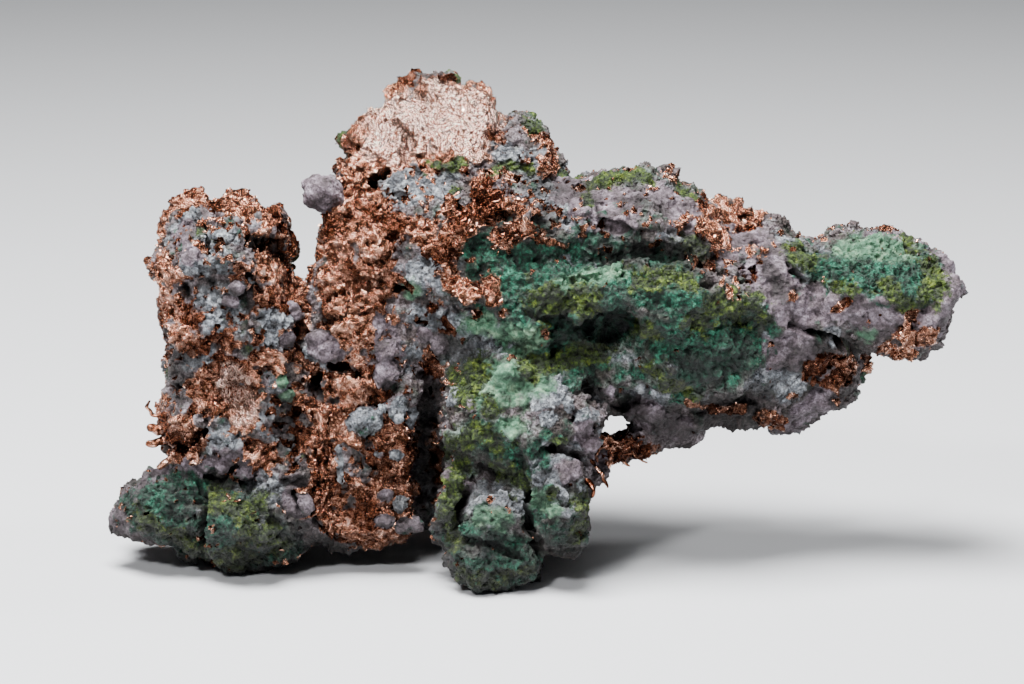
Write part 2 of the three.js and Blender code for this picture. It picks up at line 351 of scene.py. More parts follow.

# %% [markdown]
# ### The green crusts
#
# Copper that weathers turns to green minerals. Here they are a dark teal crust, a yellow-green
# moss on its crests and pale mint between. Noise alone would scatter them anywhere, so they are
# laid on with strokes as well: wide strokes where the crust is thick and narrow ones for its
# patches.

# %% Green crusts
TEAL = [
    (1.5, (-30.0, -8.5, 3.0), (-26.0, -9.5, 1.9), (-23.0, -9.5, 1.9)),
    (1.5, (-5.5, -13.6, 1.5), (-1.4, -13.4, 1.4)),
    (1.9, (-31.4, -7.2, 6.5), (-30.1, -6.6, 6.8), (-31.8, -7.7, 5.5)),
    (1.0, (-29.0, -7.8, 7.7), (-27.8, -7.8, 8.4)),
    (1.5, (-26.9, -10.2, 4.8), (-26.0, -10.2, 3.6)),
    (1.4, (-5.3, -8.9, 28.5), (-3.0, -8.8, 28.0), (-0.5, -8.8, 27.2)),
    (1.4, (-4.5, -9.1, 26.8), (-2.1, -9.2, 25.2)),
    (1.2, (0.8, -8.0, 28.6), (5.4, -7.6, 27.8)),
    (0.8, (2.0, -8.1, 26.1), (5.4, -8.3, 25.9)),
    (1.2, (5.3, -10.9, 24.7), (8.6, -10.6, 25.5), (11.1, -10.9, 24.7), (13.6, -10.1, 24.5)),
    (2.2, (10.6, -8.7, 20.6), (13.7, -9.0, 21.3), (17.0, -8.0, 21.4), (16.1, -9.4, 19.4),
     (13.1, -9.7, 18.1)),
    (1.2, (12.1, -8.9, 16.6)),
    (0.7, (6.8, 0.1, 33.6)),
    (0.7, (22.5, -3.2, 27.8)),
    (1.5, (24.8, -5.7, 26.5), (27.4, -3.7, 27.0), (30.1, -2.8, 26.8)),
    (1.5, (28.1, -6.3, 25.6), (31.5, -4.2, 25.9), (32.9, -3.1, 26.0)),
    (1.4, (-5.5, -13.7, 5.7), (-3.0, -13.9, 4.9), (-2.1, -13.7, 4.0)),
    (1.4, (-5.5, -14.3, 3.1), (-3.0, -14.1, 2.6), (-0.5, -13.4, 2.8)),
    (1.2, (1.2, -12.8, 5.5), (2.0, -12.4, 4.3)),
    (0.9, (-0.5, -12.2, 12.0), (0.7, -11.3, 10.9)),
    (0.7, (-22.0, -9.1, 2.5), (-20.2, -6.9, 2.4)),
    (0.6, (-12.5, -6.1, 28.5)),
]
WIDE_TEAL = [
    (3.0, (-3.0, -9.0, 26.8), (2.0, -8.1, 26.7), (6.2, -7.8, 26.2), (9.5, -10.6, 25.5)),
    (3.2, (9.6, -8.5, 20.3), (13.7, -9.8, 20.2), (16.7, -8.7, 20.8)),
    (2.6, (2.4, -10.8, 22.8), (4.8, -10.9, 22.4), (7.4, -11.1, 22.6)),
    (2.3, (0.8, -12.8, 6.6), (3.0, -12.4, 5.0)),
    (2.4, (-1.3, -10.0, 21.9), (2.1, -8.0, 20.2), (5.4, -8.4, 19.5)),
    (2.9, (-5.5, -14.0, 4.5), (-3.4, -13.9, 2.6), (-1.3, -14.0, 1.8)),
    (1.8, (-4.6, -12.3, 13.1), (-1.3, -12.2, 11.8)),
    (2.5, (-32.9, -6.9, 6.0), (-30.1, -8.1, 5.1), (-30.6, -6.1, 7.2)),
    (2.8, (-25.9, -10.1, 5.0), (-24.6, -10.2, 3.2)),
    (2.0, (24.8, -5.4, 26.8), (29.0, -5.0, 26.1), (32.0, -5.3, 25.3)),
]
MOSS = [
    (1.0, (-5.9, -13.6, 1.6), (-3.4, -13.8, 0.9)),
    (1.0, (-22.6, -9.6, 4.6), (-21.6, -9.2, 3.0)),
    (1.0, (-33.5, -7.6, 5.0), (-31.0, -7.2, 3.8), (-29.2, -8.9, 3.1)),
    (1.0, (-27.0, -9.2, 7.1), (-24.9, -9.6, 6.4), (-23.7, -9.4, 6.7)),
    (1.2, (-24.0, -10.1, 4.8), (-24.9, -10.1, 3.2)),
    (1.2, (-28.2, -8.0, 2.1), (-27.1, -9.1, 1.7), (-24.6, -9.7, 2.2)),
    (0.4, (-28.1, -7.8, 29.9)),
    (0.5, (-24.0, -9.2, 20.1)),
    (0.5, (-31.1, -5.5, 17.5)),
    (0.6, (-8.9, -1.5, 34.3), (-6.5, -1.4, 34.8)),
    (0.4, (-4.1, -1.0, 33.4), (-2.6, -1.6, 34.5), (-0.4, -1.5, 34.1)),
    (0.5, (-6.8, -3.4, 32.6)),
    (0.8, (-0.4, 0.7, 36.8)),
    (1.3, (0.2, -10.1, 24.5), (3.7, -10.6, 24.6), (4.7, -10.9, 23.8)),
    (0.8, (0.9, -10.7, 22.3)),
    (0.9, (8.7, -9.8, 26.1), (12.0, -8.6, 26.3), (13.2, -9.7, 25.6)),
    (1.3, (13.7, -9.9, 22.8), (15.4, -8.9, 23.4), (17.5, -6.9, 22.9)),
    (0.9, (8.6, -10.9, 22.5), (9.9, -9.9, 21.4)),
    (0.7, (9.6, -8.9, 18.3), (13.0, -8.2, 15.7)),
    (1.0, (-6.7, -8.1, 17.6), (-4.6, -9.5, 18.4), (-5.5, -11.0, 16.7)),
    (0.7, (-3.8, -12.2, 16.6), (-3.7, -12.5, 15.5)),
    (0.5, (-7.0, -10.2, 12.6), (-7.6, -3.3, 9.6)),
    (1.0, (-0.5, -10.4, 18.5), (2.7, -8.1, 19.2), (5.4, -8.4, 19.7)),
    (0.8, (4.8, -1.1, 33.0), (6.8, -0.3, 33.5), (9.6, -0.4, 33.1)),
    (0.5, (4.3, -3.3, 32.1), (4.4, -4.8, 31.8)),
    (0.7, (12.5, 0.4, 31.9), (13.8, -2.0, 31.5)),
    (0.9, (13.8, -6.6, 27.6), (12.9, -6.5, 28.5)),
    (0.9, (22.0, -4.6, 27.5), (23.1, -4.8, 26.9)),
    (0.7, (31.6, 0.2, 27.9), (32.1, -0.8, 27.3)),
    (0.9, (33.7, -3.1, 25.9), (34.0, -4.6, 25.1), (32.6, -7.4, 24.1)),
    (0.7, (25.1, -6.8, 25.2), (26.5, -7.5, 24.9)),
    (0.7, (29.5, -6.9, 25.1), (31.0, -7.4, 23.6), (31.7, -7.3, 23.2)),
    (0.7, (19.2, -7.0, 22.2), (18.5, -6.6, 23.6)),
    (0.9, (-6.3, -8.8, 10.1), (-7.0, -10.5, 8.4), (-7.4, -9.4, 5.5), (-7.0, -11.6, 4.0)),
    (1.0, (-3.0, -12.4, 12.6), (-4.6, -12.4, 13.9), (-5.5, -11.7, 12.8)),
    (0.9, (-1.3, -9.9, 9.1), (-2.8, -11.5, 10.3)),
    (0.8, (3.7, -12.2, 7.9), (4.2, -11.3, 6.4), (3.3, -12.3, 4.8)),
    (0.7, (1.2, -12.8, 8.9)),
    (0.6, (2.0, -12.1, 13.0)),
    (0.7, (-2.6, -14.1, 1.9), (-0.9, -13.7, 2.1)),
]
MINT = [
    (0.8, (-4.6, -12.9, 6.6), (-2.6, -13.2, 6.4)),
    (0.8, (0.4, -12.4, 8.0), (1.6, -12.8, 7.0)),
    (1.9, (-3.0, -11.5, 17.8), (-0.5, -11.0, 18.2)),
    (1.0, (-2.1, -12.8, 14.1)),
    (0.6, (2.0, -9.1, 25.5), (7.1, -7.5, 26.5)),
    (0.9, (26.2, -3.6, 27.3), (29.3, -1.7, 27.5), (31.7, -1.6, 27.0)),
    (0.4, (-13.3, -6.1, 2.6), (-10.3, -6.1, 2.6)),
    (0.9, (-5.5, -8.3, 22.3), (-3.0, -8.4, 21.4), (0.4, -8.0, 20.5)),
    (0.8, (-10.3, -8.4, 25.2)),
    (0.7, (28.0, -6.8, 20.8)),
]

# %% [markdown]
# ### The rock
#
# The rock is blue-grey in some places and lilac in others. The shades are no mineral: they are
# painted shade, which darkens what they lie on, for the places between grains that are too small to
# sculpt. The bare places are where the rock shows through the copper, and there the copper thins
# out to flecks.

# %% Pale rock, lilac rock and painted shade
PALE = [
    (1.2, (-28.8, -8.1, 28.4), (-28.0, -8.6, 27.3)),
    (0.9, (-25.8, -8.6, 27.1), (-26.6, -8.6, 28.1)),
    (0.9, (-25.5, -8.7, 25.1), (-24.3, -8.5, 25.4)),
    (1.2, (-26.7, -8.7, 24.2), (-25.0, -9.4, 23.1)),
    (1.0, (-21.4, -7.6, 22.6), (-22.2, -8.6, 21.7), (-22.5, -8.8, 20.4)),
    (1.0, (-29.8, -8.3, 20.2), (-29.0, -8.2, 19.0)),
    (0.7, (-21.8, -8.3, 16.8), (-20.6, -7.7, 15.8)),
    (1.2, (-27.2, -8.5, 11.7), (-26.0, -8.8, 12.9)),
    (1.2, (-23.6, -8.0, 8.6), (-22.4, -8.9, 7.9)),
    (0.7, (-22.8, -10.1, 5.1), (-22.4, -9.8, 4.0)),
    (0.3, (-22.2, -8.4, 12.4)),
    (0.3, (-16.6, -8.1, 11.2), (-16.4, -8.1, 8.6)),
    (0.7, (-10.1, -8.4, 26.7), (-9.6, -8.6, 25.1)),
    (1.0, (-11.4, -3.4, 31.8), (-9.7, -3.0, 32.5), (-8.1, -2.6, 33.2)),
    (0.9, (-10.1, -7.8, 22.8), (-8.0, -8.2, 22.4)),
    (1.5, (0.4, -3.6, 32.6), (2.1, -4.8, 32.0), (4.6, -4.3, 31.9)),
    (0.9, (-3.0, -0.9, 35.6), (-1.5, -1.5, 34.9)),
    (1.3, (0.8, -12.1, 10.0), (1.8, -12.7, 8.4)),
    (1.2, (-4.8, -12.6, 7.6), (-3.0, -12.3, 8.1), (-1.3, -13.2, 7.8)),
    (0.7, (1.2, -12.0, 14.7)),
    (1.0, (33.2, -0.4, 27.3), (34.8, -3.0, 25.7), (34.2, -6.3, 23.1)),
    (1.0, (20.3, -5.6, 16.2), (21.2, -5.4, 17.0)),
    (0.7, (19.7, -7.1, 20.5)),
    (0.6, (4.5, -7.7, 26.8), (2.0, -8.1, 27.3)),
    (1.8, (0.4, -0.9, 33.0), (2.9, -5.1, 32.1), (5.4, -6.9, 30.5)),
    (1.4, (-11.4, -2.4, 32.9), (-8.0, -3.2, 32.6)),
    (1.2, (-8.8, -8.9, 27.2), (-8.0, -9.1, 26.4)),
    (1.2, (-6.7, -8.2, 22.0), (-4.7, -8.2, 21.6), (-2.6, -8.3, 20.7)),
    (1.4, (8.8, -6.3, 15.6), (10.2, -5.0, 14.8)),
    (1.2, (2.0, -11.0, 17.5), (0.8, -11.9, 16.8)),
    (1.3, (-5.5, -8.0, 20.2), (-7.2, -7.5, 19.3)),
    (1.2, (18.9, -6.7, 16.9), (21.6, -5.3, 15.8)),
    (1.0, (-28.8, -8.1, 28.4), (-26.7, -8.3, 29.2)),
    (1.2, (-27.2, -8.7, 24.2), (-25.5, -9.6, 22.7)),
    (1.0, (-28.9, -8.9, 20.4), (-27.6, -9.0, 19.6)),
]
LILAC = [
    (2.0, (3.4, -0.6, 32.6), (5.4, -6.0, 31.4), (7.5, -5.8, 31.8)),
    (1.6, (10.5, -2.7, 32.5), (13.0, -4.2, 31.0), (13.8, -5.7, 29.6)),
    (2.0, (17.7, -4.1, 28.0), (19.7, -6.2, 25.9), (21.4, -6.5, 23.8)),
    (1.6, (16.4, -4.5, 27.7), (18.2, -3.0, 28.3)),
    (1.8, (23.5, -6.3, 22.9), (26.3, -7.4, 24.0), (29.3, -7.4, 22.4)),
    (1.8, (34.8, -2.4, 26.0), (34.7, -5.8, 23.7), (33.6, -6.4, 21.2)),
    (1.2, (29.4, -0.2, 28.2), (32.4, -0.4, 27.6)),
    (0.9, (2.6, -12.1, 10.2), (3.5, -11.5, 10.4)),
    (0.9, (-6.8, -10.1, 9.3), (-6.3, -10.7, 8.2)),
    (1.6, (-35.3, -6.6, 4.7), (-33.2, -6.6, 2.8)),
    (1.0, (-35.6, -5.2, 5.3), (-34.2, -4.1, 6.6), (-31.7, -2.5, 7.9), (-28.8, -7.3, 10.0)),
    (1.3, (-26.2, -8.1, 10.5), (-24.5, -7.9, 9.6)),
    (1.2, (-29.7, -7.0, 29.4), (-29.0, -8.0, 28.3)),
    (1.0, (4.1, -11.3, 13.7), (5.5, -7.7, 10.7)),
    (1.4, (8.9, -3.3, 13.1), (10.6, -4.8, 12.6), (12.3, -4.7, 12.0)),
    (1.2, (-13.0, -7.5, 21.4), (-12.6, -7.7, 19.7)),
    (1.0, (-20.2, -9.2, 7.2), (-19.4, -8.9, 5.8)),
    (1.6, (20.6, -6.8, 19.5), (22.3, -6.7, 20.0)),
    (1.6, (21.8, -3.4, 12.3), (24.2, -4.5, 14.3)),
]
# painted shade: strokes that darken the colour where shade would fall between grains
SHADES = [
    (1.3, (0.0, -2.6, 33.0), (4.6, -2.8, 32.4)),
    (1.2, (8.6, -4.0, 31.8), (10.6, -4.6, 31.2)),
    (1.0, (19.6, -6.0, 26.6), (20.8, -6.4, 24.4)),
    (1.6, (6.2, -7.3, 28.6), (10.4, -6.8, 28.1), (14.2, -6.5, 27.6)),
    (1.6, (-8.0, -8.1, 20.3), (-5.9, -7.7, 19.7)),
    (2.0, (15.7, -4.3, 14.2), (19.0, -5.7, 15.0)),
    (1.6, (21.5, -6.2, 18.6), (23.6, -6.0, 19.4)),
    (1.8, (14.0, -4.4, 12.5), (18.3, -4.5, 12.5)),
    (1.4, (-29.4, -8.3, 19.4), (-30.3, -7.5, 16.7)),
    (1.6, (-9.0, -3.1, 14.4), (-9.0, -3.0, 8.0)),
    (1.2, (-25.5, -8.7, 25.1), (-27.1, -8.8, 25.5)),
    (1.4, (-21.1, -8.0, 15.5), (-20.7, -7.5, 11.9)),
    (1.2, (-19.9, -5.6, 21.0), (-20.6, -7.0, 19.6)),
    (1.4, (-3.0, -7.7, 30.6), (0.8, -7.0, 30.3)),
    (1.2, (-22.6, -7.2, 28.6), (-21.4, -6.3, 27.6)),
    (1.4, (5.4, -8.7, 15.7), (4.6, -9.3, 17.1)),
    (1.2, (27.6, -3.7, 16.3), (25.9, -4.4, 15.1)),
    (2.0, (2.7, -10.8, 22.6), (4.5, -10.9, 22.2), (7.2, -11.1, 22.0)),
    (1.8, (12.4, -9.4, 18.0), (16.6, -8.6, 19.0)),
    (1.6, (8.0, -6.0, 14.0), (12.5, -4.6, 12.4)),
]

# %% Rock that shows through the copper
BARE = [
    (1.5, (-11.6, -3.5, 32.9), (-9.4, -5.5, 32.0)),
    (1.3, (-10.5, -8.0, 27.5), (-9.7, -8.2, 25.5)),
    (1.4, (-9.9, -8.0, 22.4), (-7.7, -8.2, 21.2)),
    (1.4, (-2.3, -5.0, 33.4), (0.4, -5.5, 32.2)),
    (1.8, (-30.0, -7.0, 29.2), (-27.4, -8.0, 26.8), (-25.7, -8.5, 24.3)),
    (1.3, (-31.1, -6.0, 19.8), (-30.6, -6.5, 15.1)),
    (1.3, (-22.3, -8.0, 16.7), (-21.4, -8.0, 11.9)),
    (1.5, (-26.8, -8.0, 12.8), (-25.3, -8.0, 9.3)),
    (1.1, (-24.5, -8.4, 21.5), (-22.5, -8.4, 22.4)),
    (1.0, (-12.6, -7.9, 22.5), (-12.0, -8.0, 17.0)),
    (0.9, (-16.6, -8.0, 11.5), (-14.5, -8.0, 9.0)),
    (1.2, (0.4, -6.5, 31.3), (5.6, -7.0, 29.4)),
    (1.4, (18.0, -6.0, 28.1), (16.7, -7.0, 24.8)),
    (1.0, (-28.0, -5.0, 30.4), (-25.5, -6.0, 29.8)),
]

# %% Smooth sheets of copper
SHEETS = [
    (2.8, (-12.4, 1.3, 36.6), (-9.6, 2.3, 37.8), (-7.0, 2.2, 38.0), (-5.6, 2.0, 37.6)),
    (1.3, (-25.4, -8.0, 17.2), (-25.0, -8.0, 16.0), (-24.4, -8.0, 14.8)),
]

# %% [markdown]
# ### Stones, ledges and cracks
#
# Single stones, ledges and cracks are what the eye follows over the surface. They could be painted,
# but only real shape holds up from every side. So the stones are chipped boulders, half sunk in the
# skin, the ledges and hollows push it out and in, and the cracks are cut into it last.

# %% Stones that stand out of the skin
# A stone is a place, its half sizes and its turn in degrees.
LILAC_STONES = [
    ((-18.0, -2.6, 32.3), (1.9, 1.8, 1.65), 0),
    ((-10.0, -6.9, 4.4), (0.60, 0.7, 0.77), 0),
    ((-17.7, -7.2, 19.9), (1.71, 1.20, 1.29), -35),
    ((-12.5, -7.7, 19.6), (0.86, 0.79, 1.11), -20),
    ((-12.5, -7.9, 17.8), (1.03, 0.93, 1.29), -25),
    ((-12.0, -7.5, 20.0), (0.51, 0.51, 0.77), -10),
    ((-11.1, -7.2, 4.3), (0.86, 0.65, 0.77), 0),
    ((-12.8, -7.6, 4.9), (0.86, 0.58, 0.60), -10),
    ((-19.8, -9.2, 6.6), (1.11, 0.75, 1.03), 0),
    ((-20.5, -5.9, 22.6), (1.03, 0.72, 0.77), -15),
    ((-21.0, -7.5, 20.7), (0.86, 0.65, 0.77), 10),
    ((-25.0, -8.6, 25.2), (0.77, 0.55, 0.60), -30),
    ((-25.5, -8.6, 24.2), (0.77, 0.58, 0.69), 10),
    ((-26.5, -8.0, 10.1), (1.03, 0.63, 0.77), -10),
    ((5.5, -7.7, 10.6), (0.94, 0.69, 0.77), -30),
    ((9.8, -4.4, 13.6), (1.29, 0.75, 0.86), -10),
    ((6.0, -7.7, 16.5), (0.77, 0.62, 0.77), 0),
    ((5.4, -5.0, 31.8), (0.60, 0.41, 0.43), 0),
    ((-5.3, -11.6, 16.0), (0.69, 0.51, 0.77), 0),
    ((-6.9, -10.1, 9.1), (0.77, 0.63, 1.03), -20),
    ((-12.6, -7.8, 7.2), (0.69, 0.48, 0.51), 10),
    ((-8.0, -8.1, 20.3), (0.77, 0.65, 0.86), 0),
    ((-9.3, -7.9, 21.1), (0.69, 0.55, 0.69), 0),
    ((-27.6, -7.6, 9.7), (0.77, 0.55, 0.60), 0),
    ((17.9, -3.8, 28.2), (1.46, 0.81, 0.86), 5),
]
PALE_STONES = [
    ((-14.4, -8.2, 13.7), (1.46, 0.93, 1.20), 10),
    ((-11.6, -7.9, 14.8), (0.77, 0.66, 1.11), -12),
    ((-10.5, -7.2, 13.9), (0.51, 0.51, 0.94), -8),
    ((-13.0, -8.2, 14.8), (0.43, 0.38, 0.51), 0),
    ((-22.6, -8.7, 22.7), (0.94, 0.69, 0.77), 20),
    ((-22.2, -8.7, 21.0), (0.77, 0.65, 0.86), 0),
    ((-18.8, -7.1, 19.4), (0.69, 0.58, 0.77), -20),
    ((-26.2, -8.7, 27.3), (0.94, 0.57, 0.69), -30),
    ((-28.8, -8.4, 27.4), (0.86, 0.75, 1.03), -30),
    ((-26.0, -8.4, 11.6), (1.11, 0.66, 0.77), 10),
    ((-22.4, -8.9, 8.1), (0.77, 0.54, 0.77), 30),
    ((-24.5, -7.1, 8.9), (0.69, 0.51, 0.77), 10),
    ((-22.8, -10.0, 4.5), (1.03, 0.57, 0.60), -35),
    ((-16.6, -8.1, 10.8), (0.26, 0.41, 0.77), 0),
    ((-16.4, -8.1, 9.1), (0.26, 0.41, 0.77), 0),
    ((3.9, -11.4, 14.5), (0.69, 0.72, 1.11), -18),
    ((4.5, -10.6, 12.4), (1.29, 0.82, 0.77), -15),
    ((1.0, -12.0, 14.8), (0.69, 0.58, 0.77), 20),
    ((2.5, -11.9, 16.0), (0.77, 0.58, 0.69), 0),
    ((-4.2, -12.5, 14.4), (0.43, 0.34, 0.43), 0),
    ((10.6, -7.9, 16.0), (1.20, 0.60, 0.51), -12),
    ((8.8, -7.3, 16.6), (0.77, 0.58, 0.69), 0),
    ((4.5, -7.7, 26.8), (0.94, 0.54, 0.26), 0),
    ((-6.7, -10.0, 16.1), (0.77, 0.57, 0.86), 0),
    ((-11.5, -7.5, 6.3), (0.69, 0.58, 0.77), 0),
    ((-11.8, -7.8, 10.7), (0.60, 0.45, 0.51), 0),
    ((-24.9, -7.4, 16.2), (0.17, 0.17, 0.17), 0),
    ((-10.1, -8.5, 26.3), (0.69, 0.66, 1.20), 25),
    ((-28.8, -4.8, 30.5), (0.86, 0.72, 0.94), -20),
    ((-23.7, -7.9, 8.5), (0.86, 0.69, 1.11), 15),
    ((-22.1, -8.4, 12.4), (0.34, 0.31, 0.43), 0),
    ((-0.9, -12.5, 15.4), (0.43, 0.31, 0.34), 0),
    ((-2.1, -12.8, 14.0), (1.11, 0.63, 0.69), 5),
]
MINT_STONES = [
    ((-21.3, -7.9, 17.0), (0.51, 0.45, 0.60), 0),
    ((-20.9, -7.8, 15.9), (0.77, 0.51, 0.51), 15),
]

# %% Ledges that stand out, and hollows
LEDGES = [
    # radius, height and line
    (1.5, 1.0, (-0.9, -9.7, 25.1), (2.0, -9.1, 25.5), (5.4, -8.6, 25.8), (8.7, -9.0, 26.3)),
    (1.5, 1.0, (8.7, -9.0, 26.3), (12.8, -9.7, 25.8), (16.3, -8.0, 24.1), (19.0, -6.9, 22.5)),
    (0.9, 0.9, (-5.5, -9.0, 25.0), (-3.0, -9.0, 24.3), (-0.5, -9.7, 25.1)),
    (1.3, 0.9, (5.4, -6.9, 30.5), (8.7, -6.9, 30.0), (12.1, -6.4, 29.6), (14.2, -5.9, 28.8)),
    (1.0, 0.9, (-2.6, -6.6, 31.7), (-0.5, -6.4, 31.3), (1.7, -6.4, 31.3)),
    (1.0, 0.8, (8.7, -10.7, 22.1), (10.0, -9.0, 19.6), (12.1, -9.4, 17.5)),
    (0.9, 0.7, (-7.2, -5.5, 17.7), (-4.7, -8.7, 18.7), (-1.3, -10.2, 18.7)),
    (1.2, 0.7, (31.6, -0.2, 27.7), (33.9, -2.3, 26.2), (34.7, -5.8, 24.1)),
    (1.1, 0.7, (23.3, -5.2, 26.3), (26.6, -3.2, 27.4), (30.2, -1.3, 27.5), (33.1, -2.6, 26.3)),
    (0.9, 0.7, (-24.3, -8.7, 18.7), (-26.0, -8.8, 18.1), (-26.3, -8.1, 16.4)),
    (0.8, 0.8, (-23.0, -5.1, 29.8), (-21.6, -3.0, 29.3)),
    (1.0, 0.7, (-35.0, -4.8, 5.6), (-33.0, -3.2, 7.4), (-29.2, -7.1, 9.9)),
]
HOLLOWS = [
    # radius, depth and line
    (2.4, 2.0, (2.4, -10.8, 22.8), (4.5, -10.9, 22.6), (7.2, -11.1, 22.6)),
    (2.0, 0.6, (-5.5, -9.2, 27.6), (-2.1, -8.8, 27.5), (2.0, -8.1, 27.3), (5.4, -7.6, 27.6)),
    (1.6, 0.7, (7.1, -6.8, 28.0), (11.3, -6.7, 27.6)),
    (1.2, 1.2, (14.6, -6.1, 27.0)),
    (1.3, 1.6, (5.4, -8.7, 16.1), (8.0, -5.9, 15.0)),
    (1.2, 1.4, (-22.8, -7.5, 28.4), (-21.8, -7.1, 27.2)),
    (1.3, 1.0, (-11.4, -3.4, 31.8), (-11.8, -5.9, 30.1)),
    (1.2, 1.4, (-9.0, -2.9, 16.1), (-9.1, -3.5, 11.9), (-9.0, -1.9, 7.1)),
    (1.2, 1.2, (-23.9, -8.1, 24.1), (-25.3, -9.5, 23.1)),
    (1.0, 1.0, (4.6, -8.3, 20.3), (2.1, -8.0, 19.8)),
    (1.4, 1.2, (13.0, -7.9, 15.5), (17.3, -5.4, 14.5)),
    (1.0, 1.0, (22.5, -5.0, 14.4), (25.0, -4.5, 14.7)),
]

# %% Cracks and pits
# Each has a radius, a depth and a line. The wide ones are bowls and the narrow ones are cracks.
CRACKS = [
    (0.3, 0.8, (-27.8, -6.3, 30.4), (-27.5, -8.2, 29.2), (-27.3, -8.6, 27.9)),
    (0.5, 1.2, (-25.3, -8.6, 26.9), (-24.0, -8.5, 26.3), (-23.2, -8.0, 25.1), (-24.3, -8.3, 24.3)),
    (1.0, 1.6, (-29.7, -7.9, 25.0)),
    (0.7, 0.8, (-27.0, -8.8, 25.8)),
    (1.0, 1.3, (-23.8, -7.9, 29.2), (-22.9, -7.3, 28.7)),
    (0.5, 0.8, (-30.8, -7.2, 16.0), (-30.2, -7.6, 16.6)),
    (1.8, 0.8, (-25.2, -7.6, 17.0), (-24.7, -7.6, 15.2)),
    (0.5, 3.2, (-18.5, -7.4, 17.6), (-18.6, -7.6, 16.3), (-18.0, -7.8, 15.3)),
    (0.6, 1.3, (-17.4, -7.5, 18.3), (-16.0, -7.7, 18.1), (-14.7, -7.9, 17.6)),
    (0.4, 0.9, (-18.3, -6.9, 24.7), (-18.0, -7.6, 23.2), (-17.6, -7.7, 22.0)),
    (0.5, 1.2, (-30.8, -5.7, 10.7), (-29.8, -7.3, 11.0), (-28.6, -8.6, 12.2), (-27.9, -8.9, 13.1)),
    (0.7, 0.9, (-27.7, -9.1, 14.6)),
    (0.6, 0.9, (-11.8, -7.1, 24.8), (-10.7, -8.1, 24.7)),
    (0.9, 1.2, (-11.6, -7.8, 16.8), (-12.4, -8.2, 16.2)),
    (0.4, 1.8, (-28.5, -7.8, 8.3), (-27.8, -9.3, 6.7), (-28.2, -7.3, 4.1), (-28.4, -8.8, 2.0)),
    (0.6, 1.0, (-29.2, -7.8, 7.5), (-28.6, -7.9, 6.7)),
    (0.3, 0.9, (-27.8, -6.9, 8.7), (-26.5, -7.7, 8.4), (-25.3, -7.9, 9.8)),
    (0.3, 0.9, (-24.8, -8.1, 8.3), (-24.3, -8.8, 7.6)),
    (0.7, 0.9, (-21.2, -9.2, 8.7), (-19.8, -9.2, 8.7)),
    (0.3, 0.7, (-20.5, -9.3, 7.7), (-20.0, -9.0, 5.8)),
    (0.3, 0.8, (-18.8, -8.7, 5.3), (-18.2, -7.8, 4.1)),
    (1.9, 1.2, (4.5, -10.9, 22.6), (6.1, -7.8, 21.6)),
    (0.7, 0.5, (-3.1, -7.2, 31.2), (-1.3, -7.1, 30.9), (0.8, -6.7, 30.6)),
    (1.2, 0.4, (-5.5, -8.8, 28.7), (-4.0, -8.5, 29.1)),
    (0.8, 0.8, (5.7, -6.8, 30.4), (8.7, -7.0, 29.6), (12.9, -6.2, 29.5)),
    (0.8, 1.0, (13.7, -9.3, 25.8), (15.1, -7.7, 25.6)),
    (0.7, 0.9, (-0.5, -10.5, 23.4), (2.0, -10.9, 22.8)),
    (0.9, 1.0, (4.2, -10.1, 17.2), (4.5, -10.4, 16.3)),
    (0.4, 0.7, (5.4, -5.4, 31.5)),
    (0.7, 1.3, (-4.8, -8.8, 9.8), (-3.8, -8.3, 9.2)),
    (0.5, 1.6, (-5.4, -7.2, 7.5), (-6.5, -8.5, 5.8), (-6.9, -12.0, 4.4)),
    (0.4, 1.5, (-0.9, -10.8, 9.6), (-0.7, -8.5, 7.0)),
    (0.5, 1.4, (-0.6, -8.5, 6.5), (-0.5, -9.2, 4.6), (0.5, -10.8, 2.7)),
    (0.4, 1.1, (0.6, -12.3, 12.4), (2.0, -12.0, 12.4), (3.7, -10.8, 11.3), (4.6, -9.2, 10.1)),
    (0.3, 0.7, (-2.5, -11.6, 8.6), (-1.8, -12.8, 8.1)),
    (0.5, 0.5, (-6.3, -13.5, 4.8), (-3.8, -13.9, 4.5), (-1.3, -13.9, 3.4)),
    (0.4, 1.9, (21.4, -6.9, 21.7), (23.1, -6.6, 21.1), (25.3, -5.3, 20.1)),
    (0.5, 1.8, (25.3, -5.3, 20.1), (27.3, -2.6, 18.6), (29.0, 4.7, 16.0)),
    (0.3, 0.8, (21.6, -5.8, 26.2), (22.5, -6.0, 25.2)),
    (0.3, 0.8, (16.9, -2.8, 29.0), (18.4, 0.9, 28.6)),
    (0.7, 0.5, (22.2, -6.3, 24.6), (21.9, -6.8, 22.1)),
    (0.9, 1.1, (23.3, -5.0, 15.4), (24.1, -5.0, 15.2)),
    (0.3, 0.6, (20.6, -5.4, 27.2), (21.4, -5.6, 26.6)),
    (0.3, 0.4, (28.7, -5.0, 26.1), (29.4, -4.6, 26.2)),
    (0.5, 0.5, (-12.0, 2.3, 37.7), (-10.8, 0.9, 36.4), (-10.3, 0.3, 35.9), (-11.5, -0.0, 35.3)),
    (0.9, 0.8, (-15.5, 0.9, 35.6)),
    (0.5, 0.9, (-13.7, -1.7, 33.2), (-12.8, -1.2, 33.9)),
    (0.7, 0.8, (-0.6, -0.7, 35.9), (0.2, -0.3, 35.7)),
    (0.7, 0.8, (5.8, -6.7, 14.5), (7.6, -5.1, 14.4)),
]

# %% [markdown]
# ### Measuring strokes, and noise
#
# Every stroke is measured from half a million places. A loop over them would take minutes, so each
# step works on whole arrays, and only on the places near the stroke. The noise comes from Blender's
# own noise module, in a few kinds: soft bumps, sharp ridges, leaning facets and rounded cobbles.

# %% Helpers that measure strokes and make noise
DEPTH_SQUASH = 0.4
FAR = -1.0


